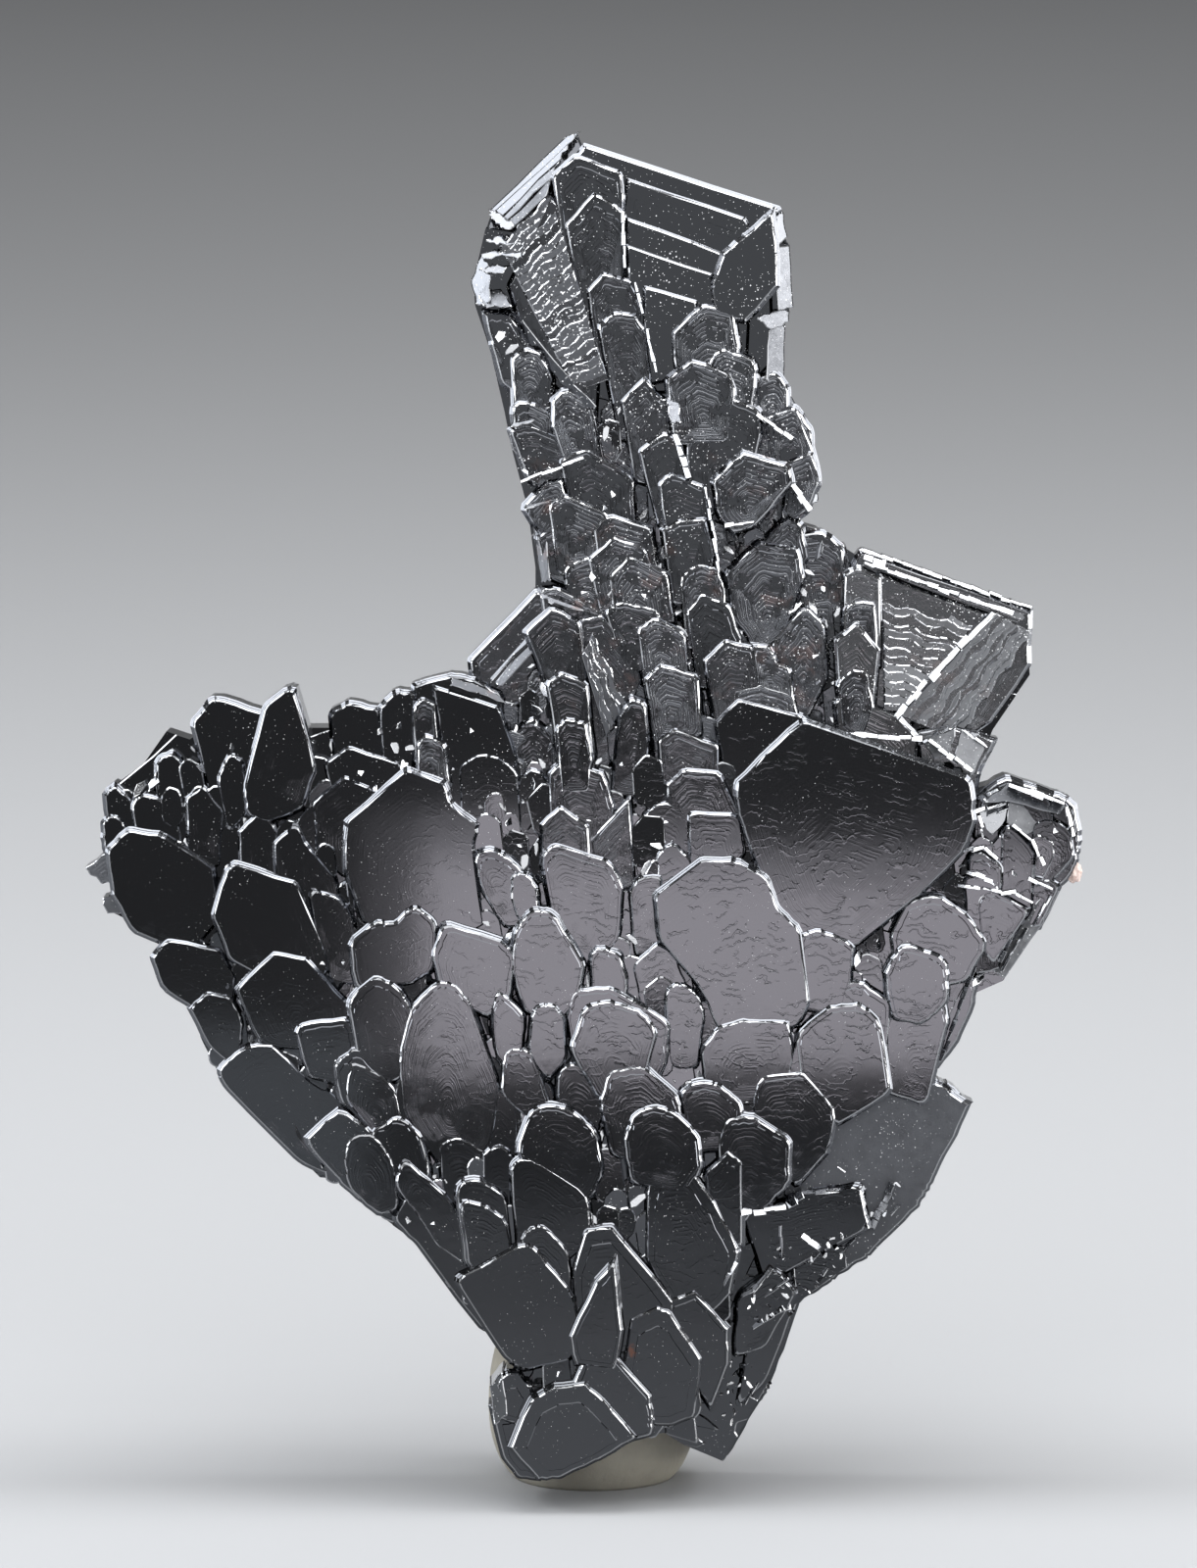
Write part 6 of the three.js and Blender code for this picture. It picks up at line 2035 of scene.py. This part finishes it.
@dataclass
class PuttyLump:
    """The lump of putty that the tip stands in: mm, and shares of its height and radius."""

    base_radius: float = 4.3
    radius: float = PUTTY_RADIUS
    bulge_share: float = 0.4
    bulge_height: float = 4.0
    bulge_fullness: float = 0.6
    height: float = 9.85
    sides: int = 96
    rows: int = 40
    dents: tuple[Point, Point] = ((1.6, 0.35), (5.0, 0.1))
    dent_depth: float = 0.035
    dent_fade: float = 4.0
    finish: PuttyFinish = field(default_factory=PuttyFinish)

    def build(self, offset: Vector) -> bpy.types.Object:
        """Builds the lump with its pressed dents.

        Args:
            offset: where the drawing's origin goes in the frame, in metres.

        Returns:
            The finished piece.
        """
        body = bmesh.new()
        rings = [self._ring(body, row / self.rows) for row in range(self.rows)]
        top = body.verts.new((0, 0, self.height))
        foot = body.verts.new((0, 0, 0))
        for side in range(self.sides):
            following = (side + 1) % self.sides
            for lower, upper in zip(rings, rings[1:]):
                body.faces.new((lower[side], lower[following], upper[following], upper[side]))
            body.faces.new((rings[-1][side], rings[-1][following], top))
            body.faces.new((rings[0][following], rings[0][side], foot))
        for face in body.faces:
            face.smooth = True
        mesh = to_mesh(body, "putty")
        place = Matrix.Translation(offset + Vector((PUTTY_U, PUTTY_DEPTH, -TIP_LIFT)) * MM)
        mesh.transform(place @ Matrix.Scale(MM, 4))
        mesh.materials.append(self.finish.material())
        return put_in_scene("putty", mesh)

    def _profile(self, share: float) -> tuple[float, float]:
        """Gives the radius and the height at a share of the way from the floor to the top.

        Args:
            share: 0 at the floor and 1 at the top.

        Returns:
            Radius and height, in mm.
        """
        if share < self.bulge_share:
            t = share / self.bulge_share
            radius = self.base_radius * (1 - t) ** 2 + self.radius * (1 - (1 - t) ** 2)
            return radius, self.bulge_height * (self.bulge_fullness * t * (1 - t) + t * t)
        t = (share - self.bulge_share) / (1.0 - self.bulge_share)
        return self.radius * (1 - t * t), self.bulge_height * (1 - t) ** 2 + self.height * (1 - (1 - t) ** 2)

    def _ring(self, body: bmesh.types.BMesh, share: float) -> list[bmesh.types.BMVert]:
        """Makes one ring of the lump.

        Args:
            body: the lump.
            share: where it is, 0 at the floor and 1 at the top.

        Returns:
            The ring's points.
        """
        radius, height = self._profile(share)
        ring = []
        for side in range(self.sides):
            angle = 2.0 * math.pi * side / self.sides
            point = Vector((math.cos(angle), math.sin(angle), height / self.height * 2.0))
            dent = sum(depth * noise.noise(point * scale) for scale, depth in self.dents)
            pressed = self.dent_depth * min(1.0, self.dent_fade * share) * dent
            reach = radius * (1.0 - self.dent_depth + pressed)
            ring.append(body.verts.new((reach * math.cos(angle), reach * math.sin(angle), height)))
        return ring


@dataclass
class PaleGrain:
    """The pale grain stuck to the right-hand edge: mm, with its lumps' fineness and depth."""

    u: float = 24.85
    v: float = 31.45
    w: float = 2.6
    radii: Point3 = (0.45, 0.6, 0.45)
    fullness: float = 0.9
    lumps: tuple[Point, Point] = ((1.9, 0.16), (6.0, 0.07))
    finish: GrainFinish = field(default_factory=GrainFinish)

    def build(self, offset: Vector) -> bpy.types.Object:
        """Builds the grain as a lumpy egg shape.

        Args:
            offset: where the drawing's origin goes in the frame, in metres.

        Returns:
            The finished piece.
        """
        body = bmesh.new()
        bmesh.ops.create_icosphere(body, subdivisions=5, radius=1.0)
        for vert in body.verts:
            full = self.fullness
            for fineness, depth in self.lumps:
                full += depth * noise.noise(vert.co * fineness)
            vert.co = Vector(vert.co * full) * Vector(self.radii)
            vert.co += Vector((self.u, self.v, self.w))
        for face in body.faces:
            face.smooth = True
        mesh = to_mesh(body, "pale_grain_stone")
        mesh.transform(standing(offset))
        mesh.materials.append(self.finish.material())
        return put_in_scene("pale_grain_stone", mesh)


@dataclass(frozen=True)
class SoftLight:
    """A rectangular soft light, unseen by the camera itself: mm, with its radiance and tint."""

    name: str
    place: Point3
    size: Point
    radiance: float
    tint: Point3 = (1.0, 1.0, 1.0)
    aim: Point3 = (0.0, 0.0, 35.0)

    def build(self) -> None:
        """Makes the light."""
        data = bpy.data.lights.new(self.name, "AREA")
        data.shape = "RECTANGLE"
        data.size = self.size[0] * MM
        data.size_y = self.size[1] * MM
        data.energy = self.radiance * math.pi * data.size * data.size_y
        data.color = self.tint
        light = put_in_scene(self.name, data)
        light.location = Vector(self.place) * MM
        direction = Vector(self.aim) - Vector(self.place)
        light.rotation_euler = direction.to_track_quat("-Z", "Y").to_euler()
        light.visible_camera = False


@dataclass(frozen=True)
class Card:
    """A softly lit card whose mirror image fills the crystals between two corners (u, v)."""

    name: str
    low: Point
    high: Point
    radiance: float
    tint: Point3


@dataclass
class Studio:
    """The pale floor, the soft lights and the camera: mm and degrees."""

    distance: float = 450.0
    elevation_deg: float = 8.0
    view_height: float = 80.0
    middle: Point3 = (0.525, 36.0, 3.5)
    sensor: float = 36.0
    nearest: float = 10.0
    floor_size: float = 8000.0
    surroundings: Colour = (0.12, 0.12, 0.12, 1.0)
    soft_lights: tuple[SoftLight, ...] = (
        SoftLight("overhead", (0, 0, 560), (420, 260), 8.0),
        SoftLight("front_fill", (0, -900, 1350), (1700, 800), 2.2, aim=(0, -100, 0)),
        SoftLight("brow", (0, -1000, 560), (2400, 420), 2.6),
        SoftLight("brow_left", (-800, -800, 190), (700, 300), 1.6, (0.97, 0.99, 1.0)),
        SoftLight("brow_right", (800, -800, 190), (700, 300), 1.6),
        SoftLight("behind", (0, 900, 1100), (1900, 1500), 0.65, aim=(0, 1000, 0)),
        SoftLight("upper_left", (-400, -10, 410), (280, 220), 7.0, (0.97, 0.985, 1.0)),
        SoftLight("upper_right", (400, -10, 410), (280, 220), 7.0),
        SoftLight("left", (-460, -20, 130), (170, 250), 7.0, (0.96, 0.98, 1.0)),
        SoftLight("right", (460, -20, 130), (170, 250), 8.0, (1.0, 0.99, 0.97)),
    )
    card_ahead: float = 400.0
    card_rise: float = 1.0
    cards: tuple[Card, ...] = (
        Card("pink_card", (-8.5, 21.7), (24.0, 32.2), 1.95, (1.0, 0.92, 0.94)),
        Card("pink_card_top", (-8.5, 32.2), (24.0, 34.4), 0.9, (1.0, 0.94, 0.96)),
        Card("pink_card_side", (-11.5, 22.0), (-8.5, 34.4), 0.29, (1.0, 0.94, 0.96)),
        Card("grey_card", (-30.0, 14.0), (-11.5, 23.6), 0.32, (0.90, 0.96, 1.0)),
        Card("upper_card", (-14.0, 43.0), (28.0, 76.0), 0.34, (0.97, 0.99, 1.0)),
    )

    def camera(self, offset: Vector) -> None:
        """Makes the camera at the viewing angle, aimed at the middle of the picture.

        Args:
            offset: where the drawing's origin goes in the frame, in metres.
        """
        rise = math.radians(self.elevation_deg)
        data = bpy.data.cameras.new("camera")
        data.sensor_width = self.sensor
        data.lens = self.sensor * self.distance / self.view_height
        data.clip_start = self.nearest * MM
        camera = put_in_scene("camera", data)
        away = Vector((0.0, -math.cos(rise), math.sin(rise))) * self.distance * MM
        camera.location = standing(offset) @ Vector(self.middle) + away
        camera.rotation_euler = (math.radians(90.0 - self.elevation_deg), 0.0, 0.0)
        bpy.context.scene.camera = camera

    def floor(self) -> None:
        """Makes the floor."""
        body = bmesh.new()
        bmesh.ops.create_grid(body, x_segments=1, y_segments=1, size=self.floor_size * MM / 2.0)
        mesh = to_mesh(body, "floor")
        mesh.materials.append(FloorFinish().material())
        floor = put_in_scene("floor", mesh)

    def lights(self, offset: Vector) -> None:
        """Makes the soft lights, the cards and the dim surroundings.

        Args:
            offset: where the drawing's origin goes in the frame, in metres.
        """
        for light in self.soft_lights:
            light.build()
        for card in self.cards:
            self._place_card(offset, card)
        world = bpy.data.worlds.new("surroundings")
        world.use_nodes = True
        world.node_tree.nodes["Background"].inputs["Color"].default_value = self.surroundings
        bpy.context.scene.world = world
        bpy.context.scene.view_settings.view_transform = "Standard"

    def _mirrored(self, offset: Vector, u: float, v: float) -> Vector:
        """Finds what the mirror faces show at a point, on the upright wall in front where the cards stand.

        Args:
            offset: where the drawing's origin goes in the frame, in metres.
            u: across.
            v: up.

        Returns:
            The place on the wall, in metres.
        """
        stand = standing(offset)
        point = stand @ Vector((u, v, front_level(u, v) + self.card_rise))
        normal = (stand.to_3x3() @ Vector((0.0, 0.0, 1.0))).normalized()
        sight = (point - bpy.context.scene.camera.location).normalized()
        thrown = sight - normal * (2.0 * sight.dot(normal))
        return point + thrown * ((-self.card_ahead * MM - point.y) / thrown.y)

    def _place_card(self, offset: Vector, card: Card) -> None:
        """Makes a card's light where the crystals mirror it.

        Args:
            offset: where the drawing's origin goes in the frame, in metres.
            card: the card.
        """
        near = self._mirrored(offset, *card.low)
        far = self._mirrored(offset, *card.high)
        middle = (near + far) / 2.0 / MM
        size = (abs(far.x - near.x) / MM, abs(far.z - near.z) / MM)
        SoftLight(card.name, tuple(middle), size, card.radiance, card.tint, (middle.x, 0.0, middle.z)).build()


def main() -> None:
    """Builds the specimen round the frame, then the studio."""
    logging.basicConfig(level=logging.INFO, format="%(message)s")
    LOG.info("the frame has the nodes %s", sorted(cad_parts))
    _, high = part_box("putty_lump")
    offset = Vector((high.x - (PUTTY_U + PUTTY_RADIUS) * MM, 0.0, TIP_LIFT * MM))
    offset.y = high.y - (PUTTY_DEPTH + PUTTY_RADIUS) * MM
    studio = Studio()
    studio.camera(offset)
    pieces = [
        (CrystalGroup().build(offset), "hematite_crystals", "hematite"),
        (PaleGrain().build(offset), "pale_grain", "pale_mineral"),
        (PuttyLump().build(offset), "putty_lump", "putty"),
    ]
    for piece, node, slot in pieces:
        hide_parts(node)
        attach(piece, "root")
        LOG.info("%s stands for %s with %d faces", piece.name, node, len(piece.data.polygons))
    studio.floor()
    studio.lights(offset)


if __name__ == "__main__":
    main()
